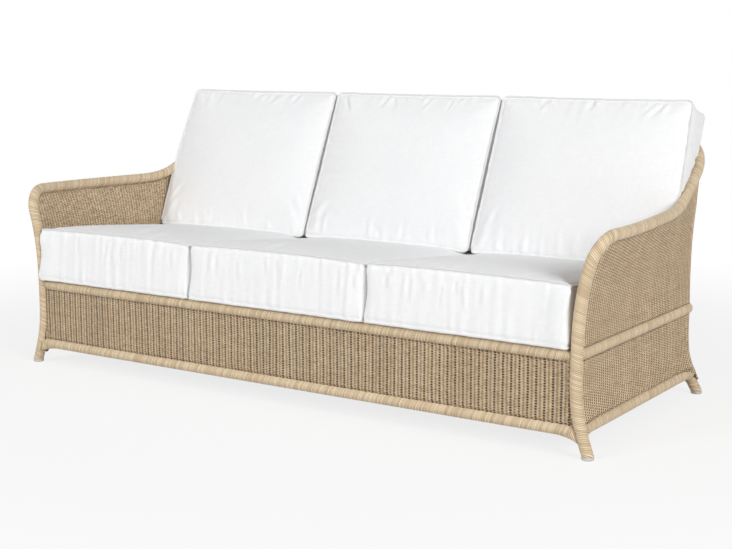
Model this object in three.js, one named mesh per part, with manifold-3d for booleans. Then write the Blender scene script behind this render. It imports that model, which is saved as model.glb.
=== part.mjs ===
// Three-seat garden sofa: a wrapped tube frame whose arms and back flare out, skinned with woven
// sheets, with a strap deck inside, four plastic glides and six loose boxed cushions.
// Millimetres, +Z up. The sitter faces -Y, and left and right are as seen from in front.

import * as THREE from "three";
import { mergeVertices } from "three/addons/utils/BufferGeometryUtils.js";
import Module from "manifold-3d";

const wasm = await Module();
wasm.setup();

// Clearance between pieces that touch on the real sofa
const fitGap = 0.3;

// Frame tube over its wrapping, and the bare tube of the uprights hidden inside the back
const tubeDiameter = 33;
const uprightDiameter = 25;

// Plan of the frame at its waist, on tube centre lines
const waistHalfWidth = 997;
const frontY = -420;
const waistBackY = 412;

// Heights of tube centre lines above the floor, and of the waist
const lowerRailHeight = 72;
const waistHeight = 200;
const seatRailHeight = 276;
const armHeight = 595;
const backRailHeight = 782;

// How far the frame surface leaves its waist: below it, along the arms and up the back
const sideSplay = 22;
const rearSplay = 11;
const armFlare = 71;
const rearFlare = 7;
const backLean = 93;

// Where the arms are widest, where their flare has died out and where they start to climb
const widestArmY = -305;
const flareEndY = 440;
const climbStartY = 75;

// Bend radii: front shoulders in side view, rear corners in plan at the seat and at the top
const shoulderRadius = 75;
const lowCornerRadius = 38;
const highCornerRadius = 81;

// Feet: how far they kick out, over what height, and how far along the sides that is felt
const footKickHeight = 140;
const frontKick = 21;
const rearKickX = 32;
const rearKickY = 22;
const kickLength = 130;

// Webs that fill the corners between the lower rails and the feet
const longWebLength = 98;
const shortWebLength = 58;
const webDrop = 38;
const webThickness = 22;

// Glides under the feet
const glideDiameter = 35;
const glideHeight = 9;
const glideEdgeRadius = 3;
const glideStemDiameter = 12;
const glideStemLength = 10;

// Woven sheet: its inner face lies just outside the tube centre lines
const weaveStandOff = 2;
const weaveThickness = 5;
const weaveCornerDrop = 30;

// Seat deck: square bars with elastic straps over them, which start level with the top of the
// front seat rail and fall to the rear
const seatPitch = THREE.MathUtils.degToRad(5.2);
const deckBarSize = 25;
const strapWidth = 50;
const strapThickness = 2;
const strapPitch = 195;
const strapsPerSeat = 3;

// Cushions, in three seats, with a seam between two of them at the seam offset from the middle
const seamOffset = 331.5;
const cushionSideGap = 2;
const cushionCornerRadius = 30;
const cushionEdgeRadius = 14;
const cushionDrawIn = 7;
const seatCushionOverhang = 11;
const seatCushionThickness = 175;
const seatCushionCrown = 24;
const backCushionThickness = 110;
const backCushionSetback = 620;
const backCushionSpread = 14;
const backCushionTopHeight = 919;
const backCushionLean = THREE.MathUtils.degToRad(23.7);
const backCushionCrown = 38;
const backCushionRearCrown = 36;

// Shares and powers that shape the curves
const frontFlareShare = 0.88;
const uprightShare = 1 / 3;
const webRailShare = 0.76;
const webFootShare = 0.8;
const webCurveShares = [1.3, 1.05];
const crownRingShares = [0.3, 0.6, 0.85];
const seatPeakShare = 0.25;
const normalStepShare = 1e-5;
const splayPower = 1.5;
const flarePower = 3.2;
const leanPower = 3;
const climbPower = 1.84;
const crownPower = 2.4;
const seatFallPower = 1.3;

// Facets
const tubeSides = 12;
const postSteps = 9;
const footSteps = 3;
const shoulderSteps = 5;
const armSteps = 10;
const cornerSteps = 6;
const halfCornerSteps = 3;
const kickSteps = 3;
const flatSteps = 2;
const upperRows = 6;
const lowerRows = 4;
const glideSegments = 20;
const glideEdgeSteps = 2;
const webCurveSteps = 6;
const cushionCornerSteps = 3;
const cushionSideSteps = 4;
const cushionEdgeSteps = 2;

// Sizes that follow from the ones above
const tubeRadius = tubeDiameter / 2;
const uprightRadius = uprightDiameter / 2;
const seatRailTop = seatRailHeight + tubeRadius;
const seatBottom = seatRailTop + fitGap;
const deckTop = seatRailTop - strapThickness - fitGap;
const footBottom = glideHeight + fitGap;
const shoulderStart = armHeight - shoulderRadius;
const postInset = tubeRadius + fitGap - weaveStandOff;
const uprightInset = uprightRadius + fitGap - weaveStandOff;
const uprightX = waistHalfWidth * uprightShare;

const up = new THREE.Vector3(0, 0, 1);
const clamp = (value) => Math.min(1, Math.max(0, value));
const smooth = (value) => clamp(value) ** 2 * (3 - 2 * clamp(value));
const steps = (count) => Array.from({ length: count + 1 }, (_, i) => i / count);

// The values that divide a stretch evenly, without its start
function between(from, to, count) {
  return steps(count).slice(1).map((t) => from + (to - from) * t);
}

// The frame surface. Every visible tube's centre line lies on it, and the woven sheets follow it.
// A station runs from 0 at a front post, over 1 and 2 at the two ends of the rear corner,
// to 3 at the middle of the back.
const cornerStart = 1;
const cornerMiddle = 1.5;
const cornerEnd = 2;
const backMiddle = 3;

function belowWaist(height) {
  return clamp((waistHeight - height) / waistHeight) ** splayPower;
}

function flareAlongArm(y) {
  const towardWidest = smooth((y - frontY) / (widestArmY - frontY));
  const towardRear = smooth((y - widestArmY) / (flareEndY - widestArmY));
  const front = frontFlareShare + (1 - frontFlareShare) * towardWidest;
  return armFlare * front - (armFlare - rearFlare) * towardRear;
}

function sideX(y, height) {
  const rise = clamp((height - waistHeight) / (armHeight - waistHeight));
  const splay = sideSplay * belowWaist(height);
  return waistHalfWidth + splay + flareAlongArm(y) * rise ** flarePower;
}

function backRise(height) {
  return clamp((height - seatRailHeight) / (backRailHeight - seatRailHeight));
}

function backY(height) {
  return waistBackY + rearSplay * belowWaist(height) + backLean * backRise(height) ** leanPower;
}

function cornerRadius(height) {
  return lowCornerRadius + (highCornerRadius - lowCornerRadius) * backRise(height);
}

const sideLength = backY(seatRailHeight) - cornerRadius(seatRailHeight) - frontY;
const kickShare = kickLength / sideLength;
const shoulderShare = shoulderRadius / sideLength;

// The share of a foot's kick that the surface takes at a distance in stations from the foot
function kickAt(distance, height) {
  const kick = clamp((footKickHeight - height) / footKickHeight) ** splayPower;
  return kick * (1 - smooth(distance / kickShare));
}

function surfacePoint(side, station, height) {
  const radius = cornerRadius(height);
  const cornerY = backY(height) - radius;
  const cornerX = sideX(cornerY, height) - radius;
  const turn = (clamp(station - cornerStart) * Math.PI) / 2;
  const point = new THREE.Vector3(
    cornerX + radius * Math.cos(turn),
    cornerY + radius * Math.sin(turn),
    height,
  );
  if (station < cornerStart) {
    point.y = frontY + station * (cornerY - frontY);
    point.x = sideX(point.y, height);
  }
  if (station > cornerEnd) point.x = cornerX * (backMiddle - station);
  const fromCorner = Math.max(cornerStart - station, station - cornerEnd, 0);
  const rearKick = kickAt(fromCorner, height);
  point.x += frontKick * kickAt(station, height) + rearKickX * rearKick;
  point.y += rearKickY * rearKick;
  point.x *= side;
  return point;
}

function surfaceNormal(side, station, height) {
  const rise = normalStepShare * backRailHeight;
  const along = surfacePoint(side, station + normalStepShare, height);
  along.sub(surfacePoint(side, station - normalStepShare, height));
  const upward = surfacePoint(side, station, height + rise);
  upward.sub(surfacePoint(side, station, height - rise));
  return along.cross(upward).multiplyScalar(side).normalize();
}

// Moves a point of the surface inward at its own height, to a distance from the surface
function insetPoint(point, normal, distance) {
  const level = normal.clone().setZ(0);
  return point.addScaledVector(level, -distance / level.lengthSq());
}

// Height of the arm tube above a station: the shoulder, the level arm, then the climb to the back
const climbSideLength = frontY + sideLength - climbStartY;
const climbCornerLength = (highCornerRadius * Math.PI) / 2;

function hoopHeight(station) {
  const y = frontY + Math.min(station, cornerStart) * sideLength;
  const intoShoulder = frontY + shoulderRadius - y;
  if (intoShoulder > 0) {
    return shoulderStart + Math.sqrt(Math.max(0, shoulderRadius ** 2 - intoShoulder ** 2));
  }
  const climbed = y - climbStartY + clamp(station - cornerStart) * climbCornerLength;
  const climb = clamp(climbed / (climbSideLength + climbCornerLength)) ** climbPower;
  return armHeight + (backRailHeight - armHeight) * smooth(climb);
}

// Solids

function closedGeometry(points, index) {
  const geometry = new THREE.BufferGeometry();
  const position = points.flatMap((point) => point.toArray());
  geometry.setAttribute("position", new THREE.Float32BufferAttribute(position, 3));
  let volume = 0;
  for (let i = 0; i < index.length; i += 3) {
    const [a, b, c] = index.slice(i, i + 3).map((corner) => points[corner]);
    volume += a.dot(b.clone().cross(c));
  }
  geometry.setIndex(volume < 0 ? index.toReversed() : index);
  return geometry;
}

function middleOf(points) {
  const sum = points.reduce((total, point) => total.add(point), new THREE.Vector3());
  return sum.divideScalar(points.length);
}

// The sides of a body through a row of rings that each hold the same number of points
function skinIndex(rings) {
  const count = rings[0].length;
  const index = [];
  for (let ring = 0; ring < rings.length - 1; ring++) {
    for (let i = 0; i < count; i++) {
      const a = ring * count + i;
      const b = ring * count + ((i + 1) % count);
      index.push(a, b, b + count);
      index.push(a, b + count, a + count);
    }
  }
  return index;
}

// A body through a row of rings, with a fan about the middle of its first and last ring
function loft(rings) {
  const count = rings[0].length;
  const last = (rings.length - 1) * count;
  const firstMiddle = last + count;
  const lastMiddle = firstMiddle + 1;
  const index = skinIndex(rings);
  for (let i = 0; i < count; i++) {
    const next = (i + 1) % count;
    index.push(firstMiddle, next, i);
    index.push(lastMiddle, last + i, last + next);
  }
  return closedGeometry([...rings.flat(), middleOf(rings[0]), middleOf(rings.at(-1))], index);
}

// A sheet between an outer and an inner face, each a list of columns of points
function sheet(outer, inner) {
  const rings = outer.map((column, i) => [...column, ...inner[i].toReversed()]);
  const count = rings[0].length;
  const last = (rings.length - 1) * count;
  const index = skinIndex(rings);
  for (let a = 0; a < count / 2 - 1; a++) {
    const b = count - 1 - a;
    index.push(a, b, a + 1);
    index.push(a + 1, b, b - 1);
    index.push(last + a, last + a + 1, last + b);
    index.push(last + a + 1, last + b - 1, last + b);
  }
  return closedGeometry(rings.flat(), index);
}

// A round bar along a path. Its first ring lies square to firstDirection, where that is given.
function sweep(path, radius, firstDirection = null) {
  let across = new THREE.Vector3(0, 1, 1);
  const rings = path.map((point, i) => {
    const before = path[Math.max(i - 1, 0)];
    const after = path[Math.min(i + 1, path.length - 1)];
    const direction = after.clone().sub(before).normalize();
    if (i === 0 && firstDirection) direction.copy(firstDirection);
    across = across.clone().projectOnPlane(direction).normalize();
    const over = direction.clone().cross(across);
    return between(0, 2 * Math.PI, tubeSides).map((turn) => {
      const angle = turn - Math.PI / tubeSides;
      const spoke = across.clone().multiplyScalar(radius * Math.cos(angle));
      return spoke.addScaledVector(over, radius * Math.sin(angle)).add(point);
    });
  });
  return loft(rings);
}

function box(min, max) {
  const size = max.clone().sub(min);
  const middle = min.clone().add(max).divideScalar(2);
  const geometry = new THREE.BoxGeometry(size.x, size.y, size.z);
  return geometry.translate(middle.x, middle.y, middle.z);
}

function solidOf(geometry) {
  const bare = geometry.clone();
  bare.deleteAttribute("normal");
  bare.deleteAttribute("uv");
  const merged = mergeVertices(bare);
  const vertProperties = new Float32Array(merged.attributes.position.array);
  const triVerts = new Uint32Array(merged.index.array);
  return new wasm.Manifold(new wasm.Mesh({ numProp: 3, vertProperties, triVerts }));
}

function geometryOf(solid) {
  const mesh = solid.getMesh();
  const geometry = new THREE.BufferGeometry();
  geometry.setAttribute("position", new THREE.BufferAttribute(mesh.vertProperties, 3));
  geometry.setIndex(new THREE.BufferAttribute(mesh.triVerts, 1));
  return geometry;
}

// Cuts a piece to its neighbours, as a tube is coped, and drops the offcuts beyond them
function cope(geometry, neighbours) {
  let solid = solidOf(geometry);
  for (const neighbour of neighbours) solid = solid.subtract(neighbour);
  const pieces = solid.decompose();
  pieces.sort((a, b) => b.volume() - a.volume());
  return geometryOf(pieces[0]);
}

// Paths of the frame tubes. A cutter is a tube with the clearance added.

function armHoopPath(side) {
  const path = steps(postSteps).map((t) => {
    const height = footBottom + (shoulderStart - footBottom) * t ** splayPower;
    return surfacePoint(side, 0, height);
  });
  for (const turn of between(0, Math.PI / 2, shoulderSteps)) {
    const station = shoulderShare * (1 - Math.cos(turn));
    const height = shoulderStart + shoulderRadius * Math.sin(turn);
    path.push(surfacePoint(side, station, height));
  }
  const stations = [
    ...between(shoulderShare, cornerStart, armSteps),
    ...between(cornerStart, cornerEnd, cornerSteps),
  ];
  for (const station of stations) path.push(surfacePoint(side, station, hoopHeight(station)));
  const end = path.at(-1).clone();
  path.push(end.setX(end.x - side * tubeRadius));
  return path;
}

// The rear post stands inside the woven corner, and shows only as a foot below it.
function rearPostPoint(side, height) {
  const point = surfacePoint(side, cornerMiddle, height);
  return insetPoint(point, surfaceNormal(side, cornerMiddle, height), postInset);
}

function rearPostPath(side) {
  const heights = [
    footBottom,
    ...between(footBottom, lowerRailHeight, footSteps),
    ...between(lowerRailHeight, seatRailHeight, lowerRows),
    ...between(seatRailHeight, hoopHeight(cornerMiddle), upperRows),
  ];
  return heights.map((height) => rearPostPoint(side, height));
}

function sideSeatRailPath(side) {
  const stations = [0, cornerStart, ...between(cornerStart, cornerEnd, cornerSteps)];
  const path = stations.map((station) => surfacePoint(side, station, seatRailHeight));
  const end = path.at(-1).clone();
  path.push(end.setX(end.x - side * tubeRadius));
  return path;
}

function sideLowerRailPath(side) {
  const rear = rearPostPoint(side, lowerRailHeight);
  rear.x = side * sideX(frontY, lowerRailHeight);
  return [rear.clone().setY(frontY), rear];
}

// A path straight across the sofa, from a point's mirror image to the point
function acrossPath(end) {
  return [end.clone().setX(-end.x), end];
}

// The end of a tube that meets the right-hand one of a pair end to end
function butted(path) {
  const end = path.at(-1);
  return end.setX(end.x - fitGap);
}

function cutter(path, firstDirection = null) {
  return solidOf(sweep(path, tubeRadius + fitGap, firstDirection));
}

const sides = [
  { name: "left", sign: -1 },
  { name: "right", sign: 1 },
];

const frontSeatRailPath = acrossPath(surfacePoint(1, 0, seatRailHeight));
const frontLowerRailPath = acrossPath(surfacePoint(1, 0, lowerRailHeight));
const backSeatRailPath = acrossPath(butted(sideSeatRailPath(1)));
const backTopRailPath = acrossPath(butted(armHoopPath(1)));
const backLowerRailPath = acrossPath(
  rearPostPoint(1, lowerRailHeight).setY(backY(lowerRailHeight)),
);

const hoopCutters = sides.map(({ sign }) => cutter(armHoopPath(sign), up));
const rearPostCutters = sides.map(({ sign }) => cutter(rearPostPath(sign), up));
const sideSeatRailCutters = sides.map(({ sign }) => cutter(sideSeatRailPath(sign)));
const sideLowerRailCutters = sides.map(({ sign }) => cutter(sideLowerRailPath(sign)));
const frontSeatRailCutter = cutter(frontSeatRailPath);
const frontLowerRailCutter = cutter(frontLowerRailPath);
const backSeatRailCutter = cutter(backSeatRailPath);
const backLowerRailCutter = cutter(backLowerRailPath);
const backTopRailCutter = cutter(backTopRailPath);

// The frame tubes, each cut where it meets another

function footBore(foot) {
  const radius = glideStemDiameter / 2 + fitGap;
  const bore = new THREE.CylinderGeometry(radius, radius, 2 * glideStemLength, glideSegments);
  bore.rotateX(Math.PI / 2);
  return solidOf(bore.translate(foot.x, foot.y, foot.z));
}

function armHoopGeometry(side) {
  const path = armHoopPath(side);
  return cope(sweep(path, tubeRadius, up), [footBore(path[0])]);
}

function rearPostGeometry(side) {
  const path = rearPostPath(side);
  return cope(sweep(path, tubeRadius, up), [footBore(path[0]), ...hoopCutters]);
}

function sideSeatRailGeometry(side) {
  const neighbours = [...hoopCutters, ...rearPostCutters, frontSeatRailCutter];
  return cope(sweep(sideSeatRailPath(side), tubeRadius), neighbours);
}

function sideLowerRailGeometry(side) {
  const neighbours = [...hoopCutters, ...rearPostCutters, frontLowerRailCutter];
  return cope(sweep(sideLowerRailPath(side), tubeRadius), neighbours);
}

function backLowerRailGeometry() {
  const neighbours = [...rearPostCutters, ...sideLowerRailCutters];
  return cope(sweep(backLowerRailPath, tubeRadius), neighbours);
}

// An upright stands just inside the woven back, between two rails, and bends where it does.
function uprightGeometry(side, lowerHeight, upperHeight, rows) {
  const heights = steps(rows).map((t) => {
    const height = lowerHeight + (upperHeight - lowerHeight) * t;
    return Math.min(Math.max(height, lowerHeight + uprightInset), upperHeight - uprightInset);
  });
  const path = heights.map((height) => {
    const point = new THREE.Vector3(side * uprightX, backY(height), height);
    return insetPoint(point, surfaceNormal(side, backMiddle, height), uprightInset);
  });
  const rails = [backLowerRailCutter, backSeatRailCutter, backTopRailCutter];
  return cope(sweep(path, uprightRadius), rails);
}

// A web in the corner under a lower rail: concave below, running out along the rail and the foot.
// It lies midway between the planes of its rail and its foot.
function webGeometry(postPoint, railPath, direction, length) {
  const across = direction.clone().cross(up);
  const origin = postPoint(lowerRailHeight);
  const toRail = railPath[0].clone().sub(origin).dot(across);
  const kick = postPoint(lowerRailHeight - webDrop).sub(origin).dot(direction);
  const end = kick + tubeRadius * webFootShare;
  const start = Math.min(webThickness / 2 + fitGap, end);
  const [curveX, curveZ] = webCurveShares.map((share) => share * tubeRadius);
  const shape = new THREE.Shape();
  shape.moveTo(start, 0);
  shape.lineTo(length, 0);
  shape.lineTo(length, -tubeRadius * webRailShare);
  shape.quadraticCurveTo(curveX, -curveZ, end, -webDrop);
  shape.lineTo(start, -webDrop);
  const web = new THREE.ExtrudeGeometry(shape, {
    depth: webThickness,
    bevelEnabled: false,
    curveSegments: webCurveSteps,
  });
  web.translate(0, 0, toRail / 2 - webThickness / 2);
  web.applyMatrix4(new THREE.Matrix4().makeBasis(direction, up, across).setPosition(origin));
  return cope(web, [
    ...hoopCutters,
    ...rearPostCutters,
    ...sideLowerRailCutters,
    frontLowerRailCutter,
    backLowerRailCutter,
  ]);
}

// A glide, standing on the origin, with the stem that fits the bore in its foot
function glideGeometry() {
  const radius = glideDiameter / 2;
  const stemRadius = glideStemDiameter / 2;
  const profile = new THREE.Path();
  profile.moveTo(0, 0);
  profile.lineTo(radius - glideEdgeRadius, 0);
  profile.quadraticCurveTo(radius, 0, radius, glideEdgeRadius);
  profile.lineTo(radius, glideHeight);
  profile.lineTo(stemRadius, glideHeight);
  profile.lineTo(stemRadius, glideHeight + glideStemLength);
  profile.lineTo(0, glideHeight + glideStemLength);
  const geometry = new THREE.LatheGeometry(profile.getPoints(glideEdgeSteps), glideSegments);
  return geometry.rotateX(Math.PI / 2);
}

// Woven sheets, each between a lower and an upper edge given as heights above the stations

const seamShare = fitGap / (lowCornerRadius * Math.PI);
const sideSeam = cornerMiddle - seamShare;
const backSeam = cornerMiddle + seamShare;

const upperSideStations = [
  0,
  ...between(0, shoulderShare, kickSteps),
  ...between(shoulderShare, cornerStart, armSteps),
  ...between(cornerStart, sideSeam, halfCornerSteps),
];
const lowerSideStations = [
  0,
  ...between(0, kickShare, kickSteps),
  ...between(kickShare, cornerStart - kickShare, flatSteps),
  ...between(cornerStart - kickShare, cornerStart, kickSteps),
  ...between(cornerStart, sideSeam, halfCornerSteps),
];
const backStations = [
  backSeam,
  ...between(backSeam, cornerEnd, halfCornerSteps),
  ...between(cornerEnd, cornerEnd + kickShare, kickSteps),
];

function seatEdge() {
  return seatRailHeight;
}

function bottomEdge(station) {
  return lowerRailHeight - weaveCornerDrop * Math.sin(Math.PI * clamp(station - cornerStart));
}

// Each column is a side and a station.
function wovenGeometry(columns, lowerEdge, upperEdge, rows) {
  const face = (offset) => {
    return columns.map(([side, station]) => {
      const heights = steps(rows).map((t) => {
        return lowerEdge(station) + (upperEdge(station) - lowerEdge(station)) * t;
      });
      return heights.map((height) => {
        const normal = surfaceNormal(side, station, height);
        return surfacePoint(side, station, height).addScaledVector(normal, offset);
      });
    });
  };
  return sheet(face(weaveStandOff + weaveThickness), face(weaveStandOff));
}

const backColumns = [
  ...backStations.map((station) => [-1, station]),
  [1, backMiddle],
  ...backStations.toReversed().map((station) => [1, station]),
];

function upperWeaveGeometry(columns) {
  const woven = wovenGeometry(columns, seatEdge, hoopHeight, upperRows);
  return cope(woven, [
    ...hoopCutters,
    ...sideSeatRailCutters,
    ...rearPostCutters,
    backSeatRailCutter,
    backTopRailCutter,
  ]);
}

function lowerWeaveGeometry(columns) {
  const woven = wovenGeometry(columns, bottomEdge, seatEdge, lowerRows);
  return cope(woven, [
    ...hoopCutters,
    ...sideSeatRailCutters,
    ...sideLowerRailCutters,
    ...rearPostCutters,
    backSeatRailCutter,
    backLowerRailCutter,
  ]);
}

function apronGeometry() {
  const halfWidth = waistHalfWidth + sideSplay + frontKick;
  const outerY = frontY - weaveStandOff - weaveThickness;
  const min = new THREE.Vector3(-halfWidth, outerY, lowerRailHeight);
  const max = new THREE.Vector3(halfWidth, frontY - weaveStandOff, seatRailHeight);
  return cope(box(min, max), [...hoopCutters, frontSeatRailCutter, frontLowerRailCutter]);
}

// Seat deck. It and the seat cushions are laid out level, and then pitched: turned about the
// centre line of the front seat rail, so that they fall to the rear.

const pitch = new THREE.Matrix4()
  .makeTranslation(0, frontY, seatRailHeight)
  .multiply(new THREE.Matrix4().makeRotationX(-seatPitch))
  .multiply(new THREE.Matrix4().makeTranslation(0, -frontY, -seatRailHeight));

// The level place, for a height in the level layout, of what the pitch brings to y
function beforePitch(y, height) {
  const shift = (height - seatRailHeight) * Math.sin(seatPitch);
  return frontY + (y - frontY - shift) / Math.cos(seatPitch);
}

const uprightFrontY = backY(seatRailHeight) - uprightInset - uprightRadius;
const deckFrontY = frontY + tubeRadius + fitGap;
const deckBackY = beforePitch(uprightFrontY - fitGap, seatRailTop);
const deckBottom = deckTop - deckBarSize;

function deckBarGeometry(fromY, toY) {
  const halfLength = waistHalfWidth - tubeRadius - fitGap;
  const min = new THREE.Vector3(-halfLength, fromY, deckBottom);
  const max = new THREE.Vector3(halfLength, toY, deckTop);
  return cope(box(min, max).applyMatrix4(pitch), rearPostCutters);
}

function bearerGeometry() {
  const halfSize = deckBarSize / 2;
  const inset = deckBarSize + fitGap;
  const min = new THREE.Vector3(-halfSize, deckFrontY + inset, deckBottom);
  const max = new THREE.Vector3(halfSize, deckBackY - inset, deckTop);
  return box(min, max).applyMatrix4(pitch);
}

function strapGeometry() {
  const min = new THREE.Vector3(-strapWidth / 2, deckFrontY, deckTop + fitGap);
  const max = new THREE.Vector3(strapWidth / 2, deckBackY, seatRailTop);
  return box(min, max).applyMatrix4(pitch);
}

// Cushions

// A rounded rectangle about the origin whose sides draw in between its corners
function cushionOutline({ width, height, endDrawIn }, inset) {
  const radius = cushionCornerRadius - inset;
  const halfWidth = width / 2 - inset;
  const halfHeight = height / 2 - inset;
  const corners = [
    [1, 1],
    [-1, 1],
    [-1, -1],
    [1, -1],
  ];
  const outline = corners.flatMap(([right, top], quarter) => {
    const arc = steps(cushionCornerSteps).map((t) => {
      const angle = ((quarter + t) * Math.PI) / 2;
      const x = right * (halfWidth - radius) + radius * Math.cos(angle);
      const y = top * (halfHeight - radius) + radius * Math.sin(angle);
      return [x, y];
    });
    const [x, y] = arc.at(-1);
    const runsAcross = right === top;
    const side = between(1, -1, cushionSideSteps).slice(0, -1).map((t) => {
      return runsAcross ? [x * t, y] : [x, y * t];
    });
    return [...arc, ...side];
  });
  return outline.map(([x, y]) => {
    const drawX = (cushionDrawIn * (1 - (y / halfHeight) ** 2)) / halfWidth;
    const drawY = (endDrawIn * (1 - (x / halfWidth) ** 2)) / halfHeight;
    return [x * (1 - drawX), y * (1 - drawY)];
  });
}

// The share of a crown's full swell at a distance from the middle of a face of that size
function crownShare(distance, size) {
  return 1 - Math.abs((2 * distance) / size) ** crownPower;
}

// Rings from the middle of the rear face, round the boxed sides, to the middle of the front
// face. place turns a point across, along and through the cushion into a point of the sofa.
function cushionGeometry(size, place) {
  const { width, alongShare, thickness, crown, rearCrown } = size;
  const ring = (share, inset, level, swell = 0) => {
    return cushionOutline(size, inset).map(([x, y]) => {
      const crowned = swell * crownShare(x * share, width) * alongShare(y * share);
      return place(x * share, y * share, level + crowned);
    });
  };
  const face = (level, swell) => {
    return crownRingShares.map((share) => ring(share, cushionEdgeRadius, level, swell));
  };
  const edge = (level, inward) => {
    return steps(cushionEdgeSteps).map((t) => {
      const turn = (t * Math.PI) / 2;
      const inset = cushionEdgeRadius * (1 - Math.sin(turn));
      const rise = cushionEdgeRadius * (1 - Math.cos(turn));
      return ring(1, inset, level + inward * rise);
    });
  };
  return loft([
    ...(rearCrown > 0 ? face(0, -rearCrown) : []),
    ...edge(0, 1),
    ...edge(thickness, -1).toReversed(),
    ...face(thickness, crown).toReversed(),
  ]);
}

// Places for three cushions in a row. The outer ones end at endX.
function cushionPlaces(endX) {
  const seams = [-endX, -seamOffset, seamOffset, endX];
  return ["left", "middle", "right"].map((name, i) => {
    const width = seams[i + 1] - seams[i] - fitGap;
    return { name, width, middleX: (seams[i] + seams[i + 1]) / 2 };
  });
}

const outerX = waistHalfWidth - tubeRadius - cushionSideGap;
const seats = cushionPlaces(outerX);
const backs = cushionPlaces(outerX + backCushionSpread);

const seatCushionTop = seatBottom + seatCushionThickness;
const seatCushionEndY = rearPostPoint(1, seatRailHeight).y - tubeRadius - cushionSideGap;
const seatCushionFrontY = frontY - tubeRadius - seatCushionOverhang;
const seatCushionBackY = beforePitch(seatCushionEndY, seatCushionTop);
const seatCushionMiddleY = (seatCushionFrontY + seatCushionBackY) / 2;
const seatCushionDepth = seatCushionBackY - seatCushionFrontY;

// A seat cushion is fullest near its front, and falls away to the rear under the back cushion.
function seatCrownShare(along) {
  const past = along / seatCushionDepth + 1 / 2 - seatPeakShare;
  return past < 0
    ? 1 - Math.abs(past / seatPeakShare) ** crownPower
    : 1 - (past / (1 - seatPeakShare)) ** seatFallPower;
}

function seatCushionGeometry({ width, middleX }) {
  const size = {
    width,
    height: seatCushionDepth,
    thickness: seatCushionThickness,
    endDrawIn: cushionDrawIn,
    crown: seatCushionCrown,
    rearCrown: 0,
    alongShare: seatCrownShare,
  };
  return cushionGeometry(size, (across, along, level) => {
    const y = seatCushionMiddleY + along;
    return new THREE.Vector3(middleX + across, y, seatBottom + level).applyMatrix4(pitch);
  });
}

// A back cushion leans on the top rail. Its foot is level and straight, and the front edge of
// the foot rests on the seat cushion, at the setback from the seat cushion's own front.
function backCushionGeometry({ width, middleX }) {
  const restY = seatCushionFrontY + backCushionSetback;
  const swell = seatCushionCrown * seatCrownShare(restY - seatCushionMiddleY);
  const rest = new THREE.Vector3(0, restY, seatCushionTop + swell).applyMatrix4(pitch);
  const foot = rest.z + fitGap;
  const rise = Math.cos(backCushionLean);
  const run = Math.sin(backCushionLean);
  const faceY = rest.y - cushionEdgeRadius / rise;
  const height = (backCushionTopHeight - foot) / rise;
  const size = {
    width,
    height,
    thickness: backCushionThickness,
    endDrawIn: 0,
    crown: backCushionCrown,
    rearCrown: backCushionRearCrown,
    alongShare: (along) => crownShare(along, height),
  };
  const cushion = cushionGeometry(size, (across, along, level) => {
    const behind = size.thickness - level;
    const start = behind * Math.tan(backCushionLean);
    const climbed = start + (height - start) * (along / height + 1 / 2);
    const y = faceY + climbed * run + behind * rise;
    return new THREE.Vector3(middleX + across, y, foot + climbed * rise - behind * run);
  });
  return cope(cushion, [backTopRailCutter, ...hoopCutters, ...rearPostCutters]);
}

// The sofa as a scene graph

const wrappedCord = { color: 0xd0ba93, roughness: 0.75, metalness: 0 };
const wovenCord = { color: 0xab9270, roughness: 0.85, metalness: 0 };
const coatedTube = { color: 0x8a7a64, roughness: 0.5, metalness: 0.4 };
const webbing = { color: 0x4b463f, roughness: 0.9, metalness: 0 };
const glidePlastic = { color: 0xb9b5ae, roughness: 0.4, metalness: 0 };
const cushionFabric = { color: 0xf4f3f0, roughness: 0.95, metalness: 0 };

const sofa = new THREE.Group();

function group() {
  const members = new THREE.Group();
  sofa.add(members);
  return (name, geometry, finish) => {
    const mesh = new THREE.Mesh(geometry, new THREE.MeshStandardMaterial(finish));
    mesh.name = name;
    members.add(mesh);
    return mesh;
  };
}

const addTube = group();
addTube("front_seat_rail", cope(sweep(frontSeatRailPath, tubeRadius), hoopCutters), wrappedCord);
addTube("front_lower_rail", cope(sweep(frontLowerRailPath, tubeRadius), hoopCutters), wrappedCord);
addTube("back_seat_rail", sweep(backSeatRailPath, tubeRadius), wrappedCord);
addTube("back_top_rail", sweep(backTopRailPath, tubeRadius), wrappedCord);
addTube("back_lower_rail", backLowerRailGeometry(), wrappedCord);
for (const { name, sign } of sides) {
  addTube(`${name}_arm_hoop`, armHoopGeometry(sign), wrappedCord);
  addTube(`${name}_rear_post`, rearPostGeometry(sign), wrappedCord);
  addTube(`${name}_seat_rail`, sideSeatRailGeometry(sign), wrappedCord);
  addTube(`${name}_lower_rail`, sideLowerRailGeometry(sign), wrappedCord);
  addTube(
    `${name}_lower_upright`,
    uprightGeometry(sign, lowerRailHeight, seatRailHeight, lowerRows),
    coatedTube,
  );
  addTube(
    `${name}_upper_upright`,
    uprightGeometry(sign, seatRailHeight, backRailHeight, upperRows),
    coatedTube,
  );
}

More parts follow.
